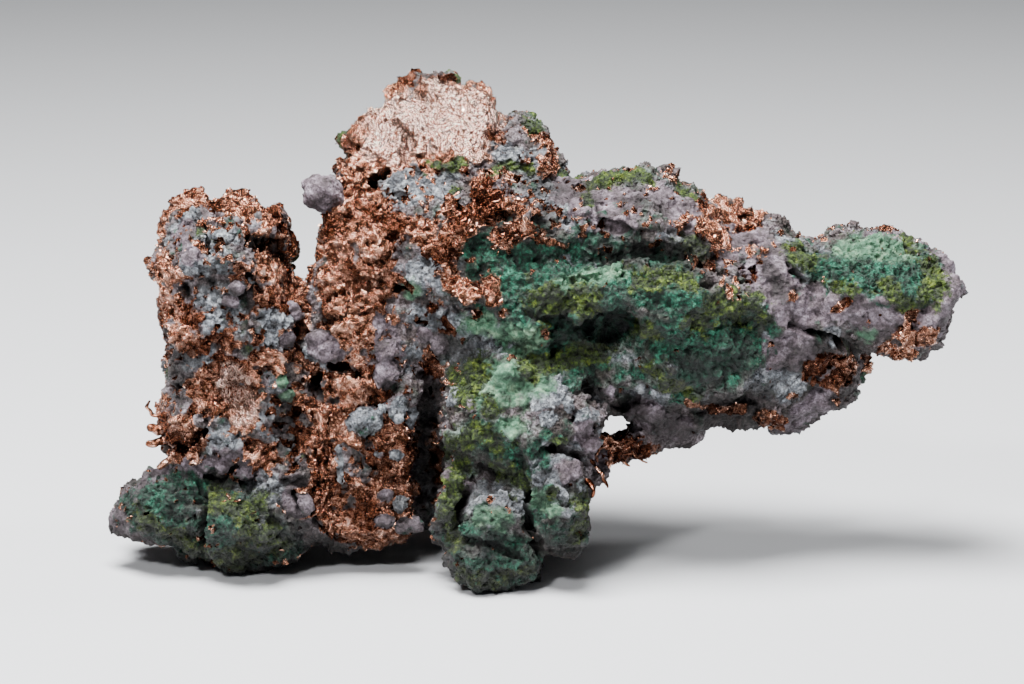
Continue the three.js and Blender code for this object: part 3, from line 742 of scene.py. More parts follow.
def line_distance(places, line):
    """How far each place is from a line of points. Depth, along Y, counts for less."""
    squash = np.array((1, DEPTH_SQUASH, 1))
    knots = [np.array(point) * squash for point in line]
    flat = places * squash
    nearest = np.linalg.norm(flat - knots[0], axis=1)
    for start, end in zip(knots, knots[1:]):
        along = end - start
        share = np.clip((flat - start) @ along / (along @ along), 0, 1)
        gap = np.linalg.norm(flat - start - share[:, None] * along, axis=1)
        nearest = np.minimum(nearest, gap)
    return nearest


def reach(places, strokes):
    """1 on the line of the nearest stroke, 0 at its edge and FAR well outside it."""
    best = np.full(len(places), FAR)
    for radius, *line in strokes:
        spread = radius * (1 - FAR)
        corners = np.array(line)
        margin = np.array((spread, spread / DEPTH_SQUASH, spread))
        near = np.all(places > corners.min(0) - margin, axis=1)
        near &= np.all(places < corners.max(0) + margin, axis=1)
        inside = 1 - line_distance(places[near], line) / radius
        best[near] = np.maximum(best[near], inside)
    return best


def bumps(places, period, octaves=4, seed=0):
    """Fractal noise with bumps `period` millimetres apart."""
    rows = (places / period + seed).tolist()
    return np.array([noise.fractal(row, 1, 2, octaves) for row in rows])


def ridges(places, period, octaves=3, seed=0):
    """Ridged noise: sharp crests with rounded valleys."""
    rows = (places / period + seed).tolist()
    return np.array([noise.ridged_multi_fractal(row, 1, 2, octaves, 1, 2) for row in rows]) - 1


def facets(places, size, seed=0):
    """Broken faces: every cell of a Voronoi pattern is a plane with a lean of its own."""
    heights = []
    for row in (places / size + seed).tolist():
        centre = noise.voronoi(row)[1][0]
        lean = noise.noise_vector(centre * 7.3)
        heights.append((Vector(row) - centre).dot(lean))
    return np.array(heights)


def cobbles(places, size, seed=0):
    """Rounded lumps with creases between them, from -1 in a crease to about 1 on top."""
    heights = []
    for row in (places / size + seed).tolist():
        near, next_near = noise.voronoi(row)[0][:2]
        heights.append(min(next_near - near, 0.4) * 5 - 1)
    return np.array(heights)


def stir(places, period, seed=0):
    """A noise vector for every place."""
    rows = (places / period + seed).tolist()
    return np.array([noise.noise_vector(row) for row in rows])


def ramp(values, start, end):
    """0 below start, 1 above end, and a smooth rise between."""
    share = np.clip((values - start) / (end - start), 0, 1)
    return share * share * (3 - 2 * share)


# %% [markdown]
# ## The broad form
#
# Rock breaks in flat facets with a lean of their own, so the skin is pushed about by a pattern of
# leaning facets, large and small, over a gentle swell. Sheets of copper stay flat. The stones are
# set on the broken skin afterwards, so that they sit in it and are not broken themselves.

# %% Helpers that seat strokes and stones on the skin
EYE = camera.location / MM
STEP = 1.3
FARTHEST = 5.0


def tree_of(mesh):
    return BVHTree.FromPolygons([v.co for v in mesh.vertices], [p.vertices for p in mesh.polygons])


def seat_of(tree, place):
    """Where the line of sight to a place meets the mesh, if that is near the place."""
    sight = (Vector(place) - EYE).normalized()
    met = tree.ray_cast(EYE, sight)[0]
    if met is None or (met - Vector(place)).length > FARTHEST:
        return Vector(place), sight
    return met, sight


def seated_strokes(tree, strokes):
    """The strokes with points added between theirs, all of them on the mesh."""
    seated = []
    for stroke in strokes:
        numbers = [value for value in stroke if not isinstance(value, tuple)]
        line = [Vector(value) for value in stroke if isinstance(value, tuple)]
        points = [seat_of(tree, line[0])[0]]
        for start, end in zip(line, line[1:]):
            steps = max(1, round((end - start).length / STEP))
            points += [seat_of(tree, start.lerp(end, (n + 1) / steps))[0] for n in range(steps)]
        seated.append((*numbers, *[tuple(point) for point in points]))
    return seated


def seated_stones(tree, stones, lift=0.45):
    """The stones, each moved along the line of sight until only part of it stands out."""
    seated = []
    for place, halves, turn in stones:
        met, sight = seat_of(tree, place)
        seated.append((tuple(met + sight * (1 - 2 * lift) * halves[1]), halves, turn))
    return seated


# %% Raise ledges, sink hollows and break the skin into leaning facets
def along(facing, height):
    return facing * height[:, None]


def raised(places, strokes, edge=1.0):
    """How far strokes of (radius, height, line) lift each place, with uneven lumps along them."""
    most = np.zeros(len(places))
    for radius, height, *line in strokes:
        most = np.maximum(most, height * ramp(reach(places, [(radius, *line)]), -0.25, edge))
    return most * np.clip(0.75 + 1.6 * bumps(places, 3.1, 3, 42), 0.1, 1.5)


rough = place_of(skin)
tree = tree_of(skin)
hidden = ramp(rough[:, 1], 0.5, 4.5)
sheet = ramp(reach(rough, seated_strokes(tree, SHEETS)), -0.2, 0.4)
wavering = rough + 0.9 * stir(rough, 3.4, 71) + 0.4 * stir(rough, 1.5, 72)
form = 0.5 * bumps(rough, 8, 3, 5) + 2.0 * facets(rough, 4.4, 3) + 0.9 * facets(rough, 2.1, 9) - 0.1
form *= (1 - 0.85 * sheet) * (1 + 0.5 * hidden)
form -= 1.8 * hidden * ramp(-np.abs(bumps(rough, 6.0, 2, 65)), -0.09, 0)
spray = ramp(reach(rough, seated_strokes(tree, SPRAYS)) + 0.5 * bumps(rough, 1.0, 2, 41), 0, 0.7)
form += 0.8 * spray
ledges, hollows = (
    raised(wavering, seated_strokes(tree, strokes), 0.7) for strokes in (LEDGES, HOLLOWS)
)
form += ledges - hollows
put(skin, rough + along(facing_of(skin), form))
print("the broad form moves the skin by", round(form.min(), 2), "to", round(form.max(), 2), "mm")

# %% Set the stones
tree = tree_of(skin)
stones = {
    "lilac": seated_stones(tree, LILAC_STONES[1:]) + LILAC_STONES[:1],
    "pale": seated_stones(tree, PALE_STONES),
    "mint": seated_stones(tree, MINT_STONES),
}
shape = bmesh.new()
shape.from_mesh(voxel_skin(skin, ROUGH_VOXEL * 0.8))
for seed, (place, halves, turn) in enumerate(sum(stones.values(), [])):
    chipped(shape, place, halves, turn, 100 + seed, chips=7, least=0.78)
shape.to_mesh(skin)
shape.free()
skin = eased(voxel_skin(skin, SKIN_VOXEL), 3)
print("the skin has", len(skin.polygons), "faces")

# %% Seat the strokes
tree = tree_of(skin)
COPPER, SPRAYS, SHEETS, CRACKS = (
    seated_strokes(tree, strokes) for strokes in (COPPER, SPRAYS, SHEETS, CRACKS)
)
TEAL, WIDE_TEAL, MOSS, MINT = (seated_strokes(tree, strokes) for strokes in (TEAL, WIDE_TEAL, MOSS, MINT))
PALE, LILAC, BARE, SHADES = (seated_strokes(tree, strokes) for strokes in (PALE, LILAC, BARE, SHADES))

# %% [markdown]
# ## The minerals on the fine skin
#
# Copper frays into the rock in flakes, and the crusts creep over both. Each mineral gets a strength
# from its strokes, frayed by noise. No stroke reaches the back, so noise alone lays it on there,
# in patches of the same size.

# %% Lay the minerals on the skin
def on_stones(places, seated):
    """1 inside the stones and 0 away from them."""
    best = np.zeros(len(places))
    for place, halves, turn in seated:
        away = (places - np.array(place)) @ np.array(Matrix.Rotation(-np.radians(turn), 3, "Y"))
        best = np.maximum(best, 1 - ramp(np.linalg.norm(away / np.array(halves), axis=1), 1.0, 1.15))
    return best


def minerals_at(places):
    """The strength of each mineral at every place: over 0 it shows, and under 0 it doesn't."""
    broad = bumps(places, 2.6, 3, 11)
    fine = bumps(places, 0.9, 3, 23)
    fray = 0.9 * broad + 0.9 * fine
    unseen = ramp(places[:, 1], 0.5, 4.5)
    seen = 1 - unseen
    left = 1 - ramp(places[:, 0], -14, -9)
    home = left * ramp(places[:, 2], 8, 12)
    right = ramp(places[:, 0], -7, -4) * ramp(-places[:, 2], -28, -24)
    patches = bumps(places, 7.5, 3, 31)
    flecks = bumps(places, 1.6, 4, 57)
    growth = bumps(places, 6.3, 3, 77)
    stone = np.max([on_stones(places, seated) for seated in stones.values()], axis=0)
    teal = np.maximum(reach(places, TEAL) + 0.6 * fray, reach(places, WIDE_TEAL) * 0.8 + 0.9 * fray - 0.1)
    teal = np.maximum(teal, unseen * (2.4 * growth - 0.45) - seen)
    moss = np.maximum(reach(places, MOSS) - 0.6 * fray, unseen * (2.4 * growth - 0.4 + fine) - seen)
    mint = reach(places, MINT) + 0.5 * fray
    pale = np.maximum(reach(places, PALE) - 0.5 * fray, 1.4 * bumps(places, 2.6, 3, 91) - 0.55)
    bare = ramp(reach(places, BARE), -0.4, 0.5)
    sprinkles = bumps(places, 0.75, 3, 58)
    copper = np.maximum(reach(places, COPPER), reach(places, SPRAYS)) + 0.6 * fray
    copper = copper * (1 - bare) + bare * (1.7 * sprinkles - 0.35)
    copper = np.maximum(copper, 2.2 * flecks - 1.35 + 1.1 * home * (1 - bare) - 0.4 * right)
    copper = np.maximum(copper, 1.9 * sprinkles - 1.05 + 0.4 * broad + 0.3 * home - 0.8 * right)
    copper = np.maximum(copper, unseen * (1.6 * patches + 0.7 * left - 0.25 + 0.6 * fray) - seen)
    teal -= 0.3 * ramp(-places[:, 2], -13, -10) * ramp(places[:, 0], -9, -7)
    copper -= 0.5 * np.clip(np.maximum(teal, moss), 0, 1) + 2 * stone
    others = np.maximum(copper, np.maximum(teal, moss))
    lilac = reach(places, LILAC) - 0.5 * fray - 0.6 * np.clip(others, 0, 1)
    lilac = np.maximum(lilac, on_stones(places, stones["lilac"]) * 2 - 1)
    pale = np.maximum(pale - np.clip(lilac, 0, 1), on_stones(places, stones["pale"]) * 2 - 1)
    mint = np.maximum(mint, on_stones(places, stones["mint"]) * 2 - 1)
    return {"copper": copper, "teal": teal, "moss": moss, "mint": mint, "pale": pale, "lilac": lilac}


places = place_of(skin)
strengths = minerals_at(places)
for name, strength in strengths.items():
    print(name, "covers", round(100 * (strength > 0).mean()), "%")

# %% [markdown]
# ## Relief
#
# Rock breaks in flat facets with gritty faces. Copper is hackly: it tears into crumpled ridges and
# points, so its vertices are stirred sideways too. The crusts are lumpy and granular. A displaced
# skin keeps all of this in its shape, and bump only adds the grain that is finer than its faces.
# The cracks are pushed in last, with a wavering line.

# %% Fine relief, mineral by mineral
SLANT = Matrix.Diagonal((1.0, 1.0, 0.35)) @ Matrix.Rotation(0.6, 3, "Y")
sheet = ramp(reach(places, SHEETS) + 0.6 * bumps(places, 2.2, 3, 15), -0.2, 0.4)
copper = ramp(strengths["copper"], -0.1, 0.15)
crust = np.maximum(ramp(strengths["teal"], -0.2, 0.3), ramp(strengths["moss"], -0.1, 0.2)) * (1 - copper)
smooth_stone = ramp(np.maximum(strengths["lilac"], strengths["mint"]), -0.2, 0.5)
stone = (1 - copper) * (1 - crust) * (1 - 0.55 * smooth_stone)
torn = copper * (1 - 0.6 * sheet)
bedded = ramp(places[:, 0], -19, -17) * ramp(-places[:, 0], 9, 11) * ramp(-places[:, 2], -26, -22)
bedded *= ramp(-places[:, 1], -1, 3)
folds = ridges(places * (1 - 0.55 * bedded[:, None] * (1, 0, 0)), 2.4, 3, 12)
height = torn * (0.66 * folds + 0.16 * ridges(places, 1.1, 3, 13) + 0.02)
height += copper * sheet * 0.24 * ridges(places @ np.array(SLANT), 1.0, 3, 14)
height += crust * (0.3 * bumps(places, 1.3, 4, 17) + 0.2 * ridges(places, 0.9, 3, 19))
height += crust * 0.14 * bumps(places, 0.35, 2, 20)
height += stone * (0.45 * facets(places, 0.95, 29) + 0.22 * facets(places, 0.5, 37))
rubble = ramp(bumps(places, 4.0, 2, 40), -0.05, 0.35)
height += (stone + 0.5 * crust) * rubble * 0.3 * cobbles(places, 1.5, 39) * (1 - copper)
height += smooth_stone * 0.3 * bumps(places, 1.2, 3, 38)
fine_rock = (1 - copper) * (1 - 0.4 * smooth_stone)
height += fine_rock * (0.14 * ridges(places, 0.62, 2, 36) + 0.16 * bumps(places, 0.45, 2, 35))
sideways = torn[:, None] * (0.20 * stir(places, 0.75, 43) + 0.22 * stir(places, 0.36, 47))
sideways += crust[:, None] * 0.14 * stir(places, 0.4, 53)
sideways += stone[:, None] * 0.08 * stir(places, 0.35, 59)
facing = facing_of(skin)
now = places + along(facing, height) + sideways
put(skin, now)

# %% Cracks and hollows, with a wavering line
facing = facing_of(eased(skin, 20))
wavered = places + 0.3 * stir(places, 1.3, 61)
sink = np.zeros(len(places))
shade = np.zeros(len(places))
for radius, depth, *line in CRACKS:
    inside = reach(wavered, [(radius, *line)])
    bowl = radius > 0.55
    inside = ramp(inside, 0, 1.2) if bowl else 1.1 * ramp(inside, 0, 0.8)
    sink = np.maximum(sink, depth * inside)
    # the cracks also get painted shade, which darkens their colour later on
    shade = np.maximum(shade, inside * (0.25 if bowl else 0.7) * min(depth, 1.5))
put(skin, now - along(facing, sink))
print("the deepest crack is", round(sink.max(), 1), "mm")

# %% Keep the skin above the floor and inside the frame's box
roomy = np.array((0.8, 0.5, 0.8))
now = place_of(skin)
now = np.clip(now, low - roomy, high + roomy)
now[:, 2] = np.maximum(now[:, 2], 0)
put(skin, now)


# %% [markdown]
# ## Painted light and shade
#
# Colour is painted lighter on what stands out and darker in what lies deep, as light and shade
# would fall there. A shader can only tell how sharp the nearest edge is, so the skin is compared
# with eased copies of itself, a little and a lot smoother. The differences are kept on the skin as
# layers, which the finishes read.

# %% Measure hollows and crests
def crests(mesh, turns, full):
    """How far each vertex stands out of the eased surface: 0.5 is level, 0 deep and 1 high."""
    smooth = eased(mesh, turns)
    offset = np.sum((place_of(mesh) - place_of(smooth)) * facing_of(smooth), axis=1)
    return np.clip(0.5 + offset / (2 * full), 0, 1)


shares = {name: np.clip(0.5 + 0.6 * strength, 0, 1) for name, strength in strengths.items()}
shares["crest"] = crests(skin, 10, 0.22)
shares["swell"] = crests(skin, 80, 0.9)
# painted shade along the shade strokes, on top of the painted shade in the cracks
shade = np.maximum(shade, 0.8 * ramp(reach(places, SHADES) + 0.5 * bumps(places, 1.5, 3, 66), -0.3, 0.7))
# painted shade that darkens the colour towards the base, the rock most and the copper least
lower = ramp(places[:, 2], 1, 15)
near_floor = 0.22 + 0.66 * copper + 0.15 * crust
shares["painted_shade"] = (1 - 0.85 * np.clip(shade, 0, 1)) * (lower + (1 - lower) * near_floor)
# painted shade on faces that look down
shares["painted_shade"] *= 1 - 0.6 * ramp(-facing_of(eased(skin, 8))[:, 2], -0.05, 0.7)
# on the sheets and sprays the painted shade of the hollows and crests is lifted
clean = np.maximum(sheet, ramp(reach(places, SPRAYS), -0.2, 0.5))
shares["swell"] = np.maximum(shares["swell"], 0.45 * clean)
shares["crest"] = np.maximum(shares["crest"], 0.5 * clean)
green = np.maximum(strengths["teal"], strengths["moss"])
shares["stain"] = 0.8 * ramp(green, -0.9, 0.1) * (1 - copper)
shares["sheet"] = sheet


def keep_shares(mesh, values):
    for name, share in values.items():
        layer = mesh.attributes.new(name, "FLOAT", "POINT")
        layer.data.foreach_set("value", share.astype(np.float32))


keep_shares(skin, shares)

# %% [markdown]
# ## Finishes
#
# One material covers the intergrown skin, because the minerals pass into each other on it. The
# shares laid on above choose between small colour recipes, one for each mineral. A flat colour
# would look like paint, and a material for each mineral would leave a hard line where they meet.
# Crests get a painted highlight and hollows a painted shade. Copper alone is metallic.

# %% Small helpers for node trees
class Recipe:
    """A material's node tree, with short ways to add nodes to it. Patterns are in millimetres."""

    def __init__(self, name):
        self.material = bpy.data.materials.new(name)
        self.material.use_nodes = True
        self.tree = self.material.node_tree
        self.shader = self.tree.nodes["Principled BSDF"]
        coordinates = self.tree.nodes.new("ShaderNodeTexCoord")
        mapping = self.tree.nodes.new("ShaderNodeMapping")
        mapping.inputs["Scale"].default_value = (1 / MM,) * 3
        self.tree.links.new(coordinates.outputs["Object"], mapping.inputs["Vector"])
        self.place = mapping.outputs["Vector"]

    def set(self, socket, value):
        """Link a node's output to the socket, or set the socket to a plain value."""
        if isinstance(value, bpy.types.NodeSocket):
            self.tree.links.new(value, socket)
        elif isinstance(value, tuple) and len(value) == 3 and socket.type == "RGBA":
            socket.default_value = (*value, 1)
        else:
            socket.default_value = value

    def share(self, name):
        node = self.tree.nodes.new("ShaderNodeAttribute")
        node.attribute_name = name
        return node.outputs["Fac"]

    def noise(self, period, detail=3.0, roughness=0.55, shift=0.0):
        node = self.tree.nodes.new("ShaderNodeTexNoise")
        node.noise_dimensions = "4D"
        self.set(node.inputs["Vector"], self.place)
        self.set(node.inputs["W"], shift)
        self.set(node.inputs["Scale"], 1 / period)
        self.set(node.inputs["Detail"], detail)
        self.set(node.inputs["Roughness"], roughness)
        return node.outputs["Fac"]

    def streaks(self, across, length):
        """Noise drawn out along a slanting line."""
        stretch = self.tree.nodes.new("ShaderNodeMapping")
        stretch.inputs["Rotation"].default_value = (0, 0.5, 0)
        stretch.inputs["Scale"].default_value = (1 / across, 1 / across, 1 / length)
        self.tree.links.new(self.place, stretch.inputs["Vector"])
        node = self.tree.nodes.new("ShaderNodeTexNoise")
        self.tree.links.new(stretch.outputs["Vector"], node.inputs["Vector"])
        self.set(node.inputs["Scale"], 1.0)
        return node.outputs["Fac"]

    def math(self, operation, first, second=0.0, third=0.0):
        node = self.tree.nodes.new("ShaderNodeMath")
        node.operation = operation
        for socket, value in zip(node.inputs, (first, second, third)):
            self.set(socket, value)
        return node.outputs["Value"]

    def edge(self, share, grains, spread, soft):
        """0 where the share is low and 1 where it is high, with a border as ragged as the grains."""
        frayed = self.math("MULTIPLY_ADD", self.math("SUBTRACT", grains, 0.5), spread, share)
        node = self.tree.nodes.new("ShaderNodeMapRange")
        node.interpolation_type = "SMOOTHSTEP"
        self.set(node.inputs["Value"], frayed)
        self.set(node.inputs["From Min"], 0.5 - soft)
        self.set(node.inputs["From Max"], 0.5 + soft)
        return node.outputs["Result"]

    def colours(self, value, *stops):
        """A colour ramp: stops are (position, (red, green, blue))."""
        node = self.tree.nodes.new("ShaderNodeValToRGB")
        bands = node.color_ramp.elements
        while len(bands) < len(stops):
            bands.new(0.5)
        for band, (position, colour) in zip(bands, stops):
            band.position = position
            band.color = (*colour, 1)
        self.set(node.inputs["Fac"], value)
        return node.outputs["Color"]

    def mix(self, share, first, second, blend="MIX"):
        node = self.tree.nodes.new("ShaderNodeMix")
        node.data_type = "RGBA"
        node.blend_type = blend
        self.set(node.inputs["Factor"], share)
        self.set(node.inputs["A"], first)
        self.set(node.inputs["B"], second)
        return node.outputs["Result"]

    def bump(self, height, distance, strength=1.0, normal=None):
        node = self.tree.nodes.new("ShaderNodeBump")
        self.set(node.inputs["Height"], height)
        self.set(node.inputs["Distance"], distance)
        self.set(node.inputs["Strength"], strength)
        if normal is not None:
            self.set(node.inputs["Normal"], normal)
        return node.outputs["Normal"]


# %% Colour recipes for each mineral
def speckled(recipe, tint, shift, darkest):
    """The tint with dark specks between its grains, fine ones and coarse ones."""
    specks = recipe.colours(recipe.noise(0.2, 2, 0.7, shift), (0.40, darkest), (0.56, (1, 1, 1)))
    gaps = recipe.colours(recipe.noise(0.6, 5, 0.75, shift + 20), (0.38, darkest), (0.50, (1, 1, 1)))
    return recipe.mix(1.0, recipe.mix(1.0, tint, specks, "MULTIPLY"), gaps, "MULTIPLY")


def rock_colour(recipe):
    tint = recipe.colours(
        recipe.noise(2.4, 6, 0.68, 1),
        (0.38, (0.035, 0.022, 0.019)),
        (0.45, (0.10, 0.072, 0.068)),
        (0.52, (0.21, 0.165, 0.18)),
        (0.62, (0.44, 0.385, 0.43)),
    )
    return speckled(recipe, tint, 2, (0.28, 0.24, 0.22))


def pale_colour(recipe):
    tint = recipe.colours(
        recipe.noise(1.1, 5, 0.65, 3),
        (0.36, (0.08, 0.085, 0.095)),
        (0.48, (0.23, 0.255, 0.29)),
        (0.62, (0.64, 0.69, 0.74)),
    )
    return speckled(recipe, tint, 4, (0.45, 0.44, 0.43))


def lilac_colour(recipe):
    tint = recipe.colours(
        recipe.noise(1.3, 5, 0.6, 12),
        (0.37, (0.085, 0.062, 0.07)),
        (0.5, (0.22, 0.17, 0.205)),
        (0.64, (0.50, 0.43, 0.51)),
    )
    return speckled(recipe, tint, 13, (0.5, 0.47, 0.46))


def teal_colour(recipe):
    tint = recipe.colours(
        recipe.noise(1.1, 6, 0.75, 5),
        (0.38, (0.002, 0.014, 0.007)),
        (0.46, (0.004, 0.052, 0.028)),
        (0.54, (0.010, 0.135, 0.075)),
        (0.64, (0.050, 0.34, 0.21)),
    )
    return speckled(recipe, tint, 16, (0.25, 0.3, 0.25))


def moss_colour(recipe):
    tint = recipe.colours(
        recipe.noise(0.9, 6, 0.75, 6),
        (0.38, (0.007, 0.014, 0.002)),
        (0.46, (0.026, 0.054, 0.003)),
        (0.54, (0.080, 0.140, 0.006)),
        (0.65, (0.25, 0.33, 0.03)),
    )
    return speckled(recipe, tint, 18, (0.25, 0.28, 0.2))


def mint_colour(recipe):
    return recipe.colours(
        recipe.noise(1.0, 6, 0.68, 7),
        (0.36, (0.025, 0.075, 0.04)),
        (0.5, (0.09, 0.24, 0.135)),
        (0.66, (0.36, 0.56, 0.36)),
    )


def copper_colour(recipe):
    metal = recipe.colours(
        recipe.noise(0.6, 6, 0.85, 8),
        (0.39, (0.048, 0.022, 0.015)),
        (0.46, (0.24, 0.095, 0.05)),
        (0.53, (0.78, 0.39, 0.26)),
        (0.61, (1.0, 0.72, 0.60)),
    )
    tarnish = recipe.colours(recipe.noise(3.6, 3, 0.6, 15), (0.41, (0.26, 0.19, 0.16)), (0.57, (1, 1, 1)))
    return recipe.mix(1.0, metal, tarnish, "MULTIPLY")


# %% The intergrown finish
def intergrown_finish():
    recipe = Recipe("intergrown_copper_and_rock")
    grains = recipe.noise(1.4, 7, 0.8, 14)
    metal = recipe.edge(recipe.share("copper"), grains, 1.1, 0.04)
    layers = (
        ("pale", pale_colour, 1.6, 0.15),
        ("lilac", lilac_colour, 0.3, 0.1),
        ("teal", teal_colour, 2.2, 0.2),
        ("mint", mint_colour, 2.0, 0.3),
        ("moss", moss_colour, 3.0, 0.16),
    )
    colour = rock_colour(recipe)
    stained = recipe.mix(1.0, colour, (0.30, 0.68, 0.42), "MULTIPLY")
    colour = recipe.mix(recipe.share("stain"), colour, stained)
    for name, colour_of, spread, soft in layers:
        border = recipe.edge(recipe.share(name), grains, spread, soft)
        colour = recipe.mix(border, colour, colour_of(recipe))
    clean = recipe.colours(recipe.streaks(0.17, 0.7), (0.38, (0.26, 0.09, 0.05)), (0.50, (1.0, 0.74, 0.63)))
    bright = recipe.math("MULTIPLY", recipe.share("sheet"), 0.85)
    colour = recipe.mix(metal, colour, recipe.mix(bright, copper_colour(recipe), clean))
    # painted highlight on the crests and painted shade in the fine hollows
    painted_crest_shading = recipe.colours(
        recipe.share("crest"), (0.1, (0.13, 0.10, 0.09)), (0.5, (0.74, 0.73, 0.73)), (0.85, (1, 1, 1))
    )
    # painted shade in the broad hollows
    painted_hollow_shade = recipe.colours(recipe.share("swell"), (0.0, (0.22, 0.19, 0.17)), (0.42, (1, 1, 1)))
    # painted shade from the strokes, the cracks, the base and the faces that look down
    deep = recipe.colours(recipe.share("painted_shade"), (0.1, (0.09, 0.07, 0.06)), (1.0, (1, 1, 1)))
    for veil in (painted_crest_shading, painted_hollow_shade, deep):
        colour = recipe.mix(1.0, colour, veil, "MULTIPLY")
    recipe.set(recipe.shader.inputs["Base Color"], colour)
    recipe.set(recipe.shader.inputs["Metallic"], metal)
    polish = recipe.math("MULTIPLY_ADD", recipe.noise(0.5, 3, 0.6, 9), 0.36, 0.03)
    matte = recipe.math("MULTIPLY_ADD", recipe.noise(0.6, 3, 0.6, 10), 0.4, 0.45)
    shine = recipe.math("MULTIPLY", metal, recipe.math("SUBTRACT", polish, matte))
    recipe.set(recipe.shader.inputs["Roughness"], recipe.math("ADD", matte, shine))
    streaks = recipe.math("MULTIPLY", recipe.streaks(0.14, 1.6), recipe.share("sheet"))
    grit = recipe.bump(recipe.noise(0.25, 4, 0.75, 11), 0.22 * MM, 0.9)
    recipe.set(recipe.shader.inputs["Normal"], recipe.bump(streaks, 0.16 * MM, 1.0, grit))
    return recipe.material


skin_finish = intergrown_finish()


# %% [markdown]
# ## Loose copper
#
# Grains and wires are bare metal, with less painted shade than the skin under them. They could
# share its finish, but its borders between minerals would cut across them, so they have two short
# finishes of their own: one with painted shade in the hollows for the grains, and a plain one for
# the wires.

# %% The finish of loose copper
def copper_finish():
    recipe = Recipe("native_copper")
    # painted shade in the broad hollows
    painted_hollow_shade = recipe.colours(recipe.share("swell"), (0.1, (0.25, 0.19, 0.16)), (0.5, (1, 1, 1)))
    colour = recipe.mix(1.0, copper_colour(recipe), painted_hollow_shade, "MULTIPLY")
    recipe.set(recipe.shader.inputs["Base Color"], colour)
    recipe.set(recipe.shader.inputs["Metallic"], 1.0)
    polish = recipe.math("MULTIPLY_ADD", recipe.noise(0.5, 3, 0.6, 9), 0.36, 0.03)
    recipe.set(recipe.shader.inputs["Roughness"], polish)
    recipe.set(recipe.shader.inputs["Normal"], recipe.bump(recipe.noise(0.12, 2, 0.6, 11), 0.04 * MM, 0.6))
    return recipe.material


copper_grain_finish = copper_finish()


# %% The finish of the wires
def clean_copper_finish():
    recipe = Recipe("clean_native_copper")
    recipe.set(recipe.shader.inputs["Base Color"], copper_colour(recipe))
    recipe.set(recipe.shader.inputs["Metallic"], 1.0)
    polish = recipe.math("MULTIPLY_ADD", recipe.noise(0.5, 3, 0.6, 9), 0.4, 0.1)
    recipe.set(recipe.shader.inputs["Roughness"], polish)
    recipe.set(recipe.shader.inputs["Normal"], recipe.bump(recipe.noise(0.2, 3, 0.6, 11), 0.06 * MM, 0.7))
    return recipe.material


wire_finish = clean_copper_finish()

# %% [markdown]
# ## Breaking the skin up
#
# The skin is too heavy for one piece, so it is cut by flat planes, and every cut is closed with a
# cap. The planes run through the mass where its parts meet. Nothing shows at a cut, because both
# sides keep the same edge and every face is shaded flat, like the face of a crystal.

# %% Cut the skin into closed pieces
AXES = {"x": Vector((1, 0, 0)), "y": Vector((0, 1, 0)), "z": Vector((0, 0, 1))}
CUTS = (
    "x", -9.4,
    ("x", -20.4, ("z", 16.5, "left_foot", "tower"), ("z", 24.5, "slab", "peak")),
    ("x", 11.6, ("z", 27.2, ("z", 13.6, "feet", "heart"), "ridge"), ("x", 22.5, "arm", "arm_head")),
)


def half(shape, axis, at, keep_low):
    """The part of the mesh on one side of a plane, closed with a cap."""
    part = shape.copy()
    everything = part.verts[:] + part.edges[:] + part.faces[:]
    cut = bmesh.ops.bisect_plane(
        part, geom=everything, dist=1e-5, plane_co=AXES[axis] * at, plane_no=AXES[axis],
        clear_outer=keep_low, clear_inner=not keep_low,
    )
    rim = [edge for edge in cut["geom_cut"] if isinstance(edge, bmesh.types.BMEdge)]
    caps = bmesh.ops.holes_fill(part, edges=rim)["faces"]
    bmesh.ops.triangulate(part, faces=caps)
    return part


def broken_up(shape, cuts):
    """Names and meshes of the pieces that the nested cuts give."""
    if isinstance(cuts, str):
        return {cuts: shape}
    axis, at, low_side, high_side = cuts
    pieces = broken_up(half(shape, axis, at, True), low_side)
    pieces.update(broken_up(half(shape, axis, at, False), high_side))
    shape.free()
    return pieces


def finished(name, shape, finish):
    """Makes a piece of a mesh in millimetres, and lets it ride with the specimen."""
    bmesh.ops.triangulate(shape, faces=shape.faces[:])
    bmesh.ops.recalc_face_normals(shape, faces=shape.faces[:])
    bmesh.ops.scale(shape, vec=(MM,) * 3, verts=shape.verts)
    open_edges = sum(not edge.is_manifold for edge in shape.edges)
    mesh = bpy.data.meshes.new(name)
    shape.to_mesh(mesh)
    shape.free()
    mesh.materials.append(finish)
    piece = bpy.data.objects.new(name, mesh)
    bpy.context.scene.collection.objects.link(piece)
    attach(piece, "root")
    print(name, "has", len(mesh.polygons), "triangles and", open_edges, "open edges")
    return piece


whole = bmesh.new()
whole.from_mesh(skin)
bmesh.ops.triangulate(whole, faces=whole.faces[:])
skin_pieces = [
    finished(name, shape, skin_finish)
    for name, shape in broken_up(whole, CUTS).items()
]
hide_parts("nugget")
print("so far it took", round(time.time() - began), "s")

# %% [markdown]
# ## Grains, needles and grit
#
# The skin alone is too even. On the real thing thousands of flakes and grains stand off it, and
# each catches the light its own way. Geometry nodes strew a few simple seeds over the skin, thick
# where their mineral is strong, and the strewn copies are joined to one mesh.

# %% Seeds
def seed_mesh(name, build, halves, jitter):
    """One small crumpled solid. `build` adds its plain shape to a bmesh."""
    shape = bmesh.new()
    build(shape)
    bmesh.ops.scale(shape, vec=halves, verts=shape.verts)
    for vert in shape.verts:
        vert.co += noise.noise_vector(vert.co * 3 + Vector((len(name), 2, 5))) * jitter
    bmesh.ops.triangulate(shape, faces=shape.faces[:])
    mesh = bpy.data.meshes.new(name)
    shape.to_mesh(mesh)
    shape.free()
    return bpy.data.objects.new(name, mesh)


def ball(shape):
    bmesh.ops.create_icosphere(shape, subdivisions=1, radius=1)


def gem(shape):
    bmesh.ops.create_uvsphere(shape, u_segments=4, v_segments=2, radius=1)


def brick(shape):
    bmesh.ops.create_cube(shape, size=2)


def spike(shape):
    bmesh.ops.create_cone(shape, cap_ends=True, segments=4, radius1=1, radius2=0.4, depth=2)


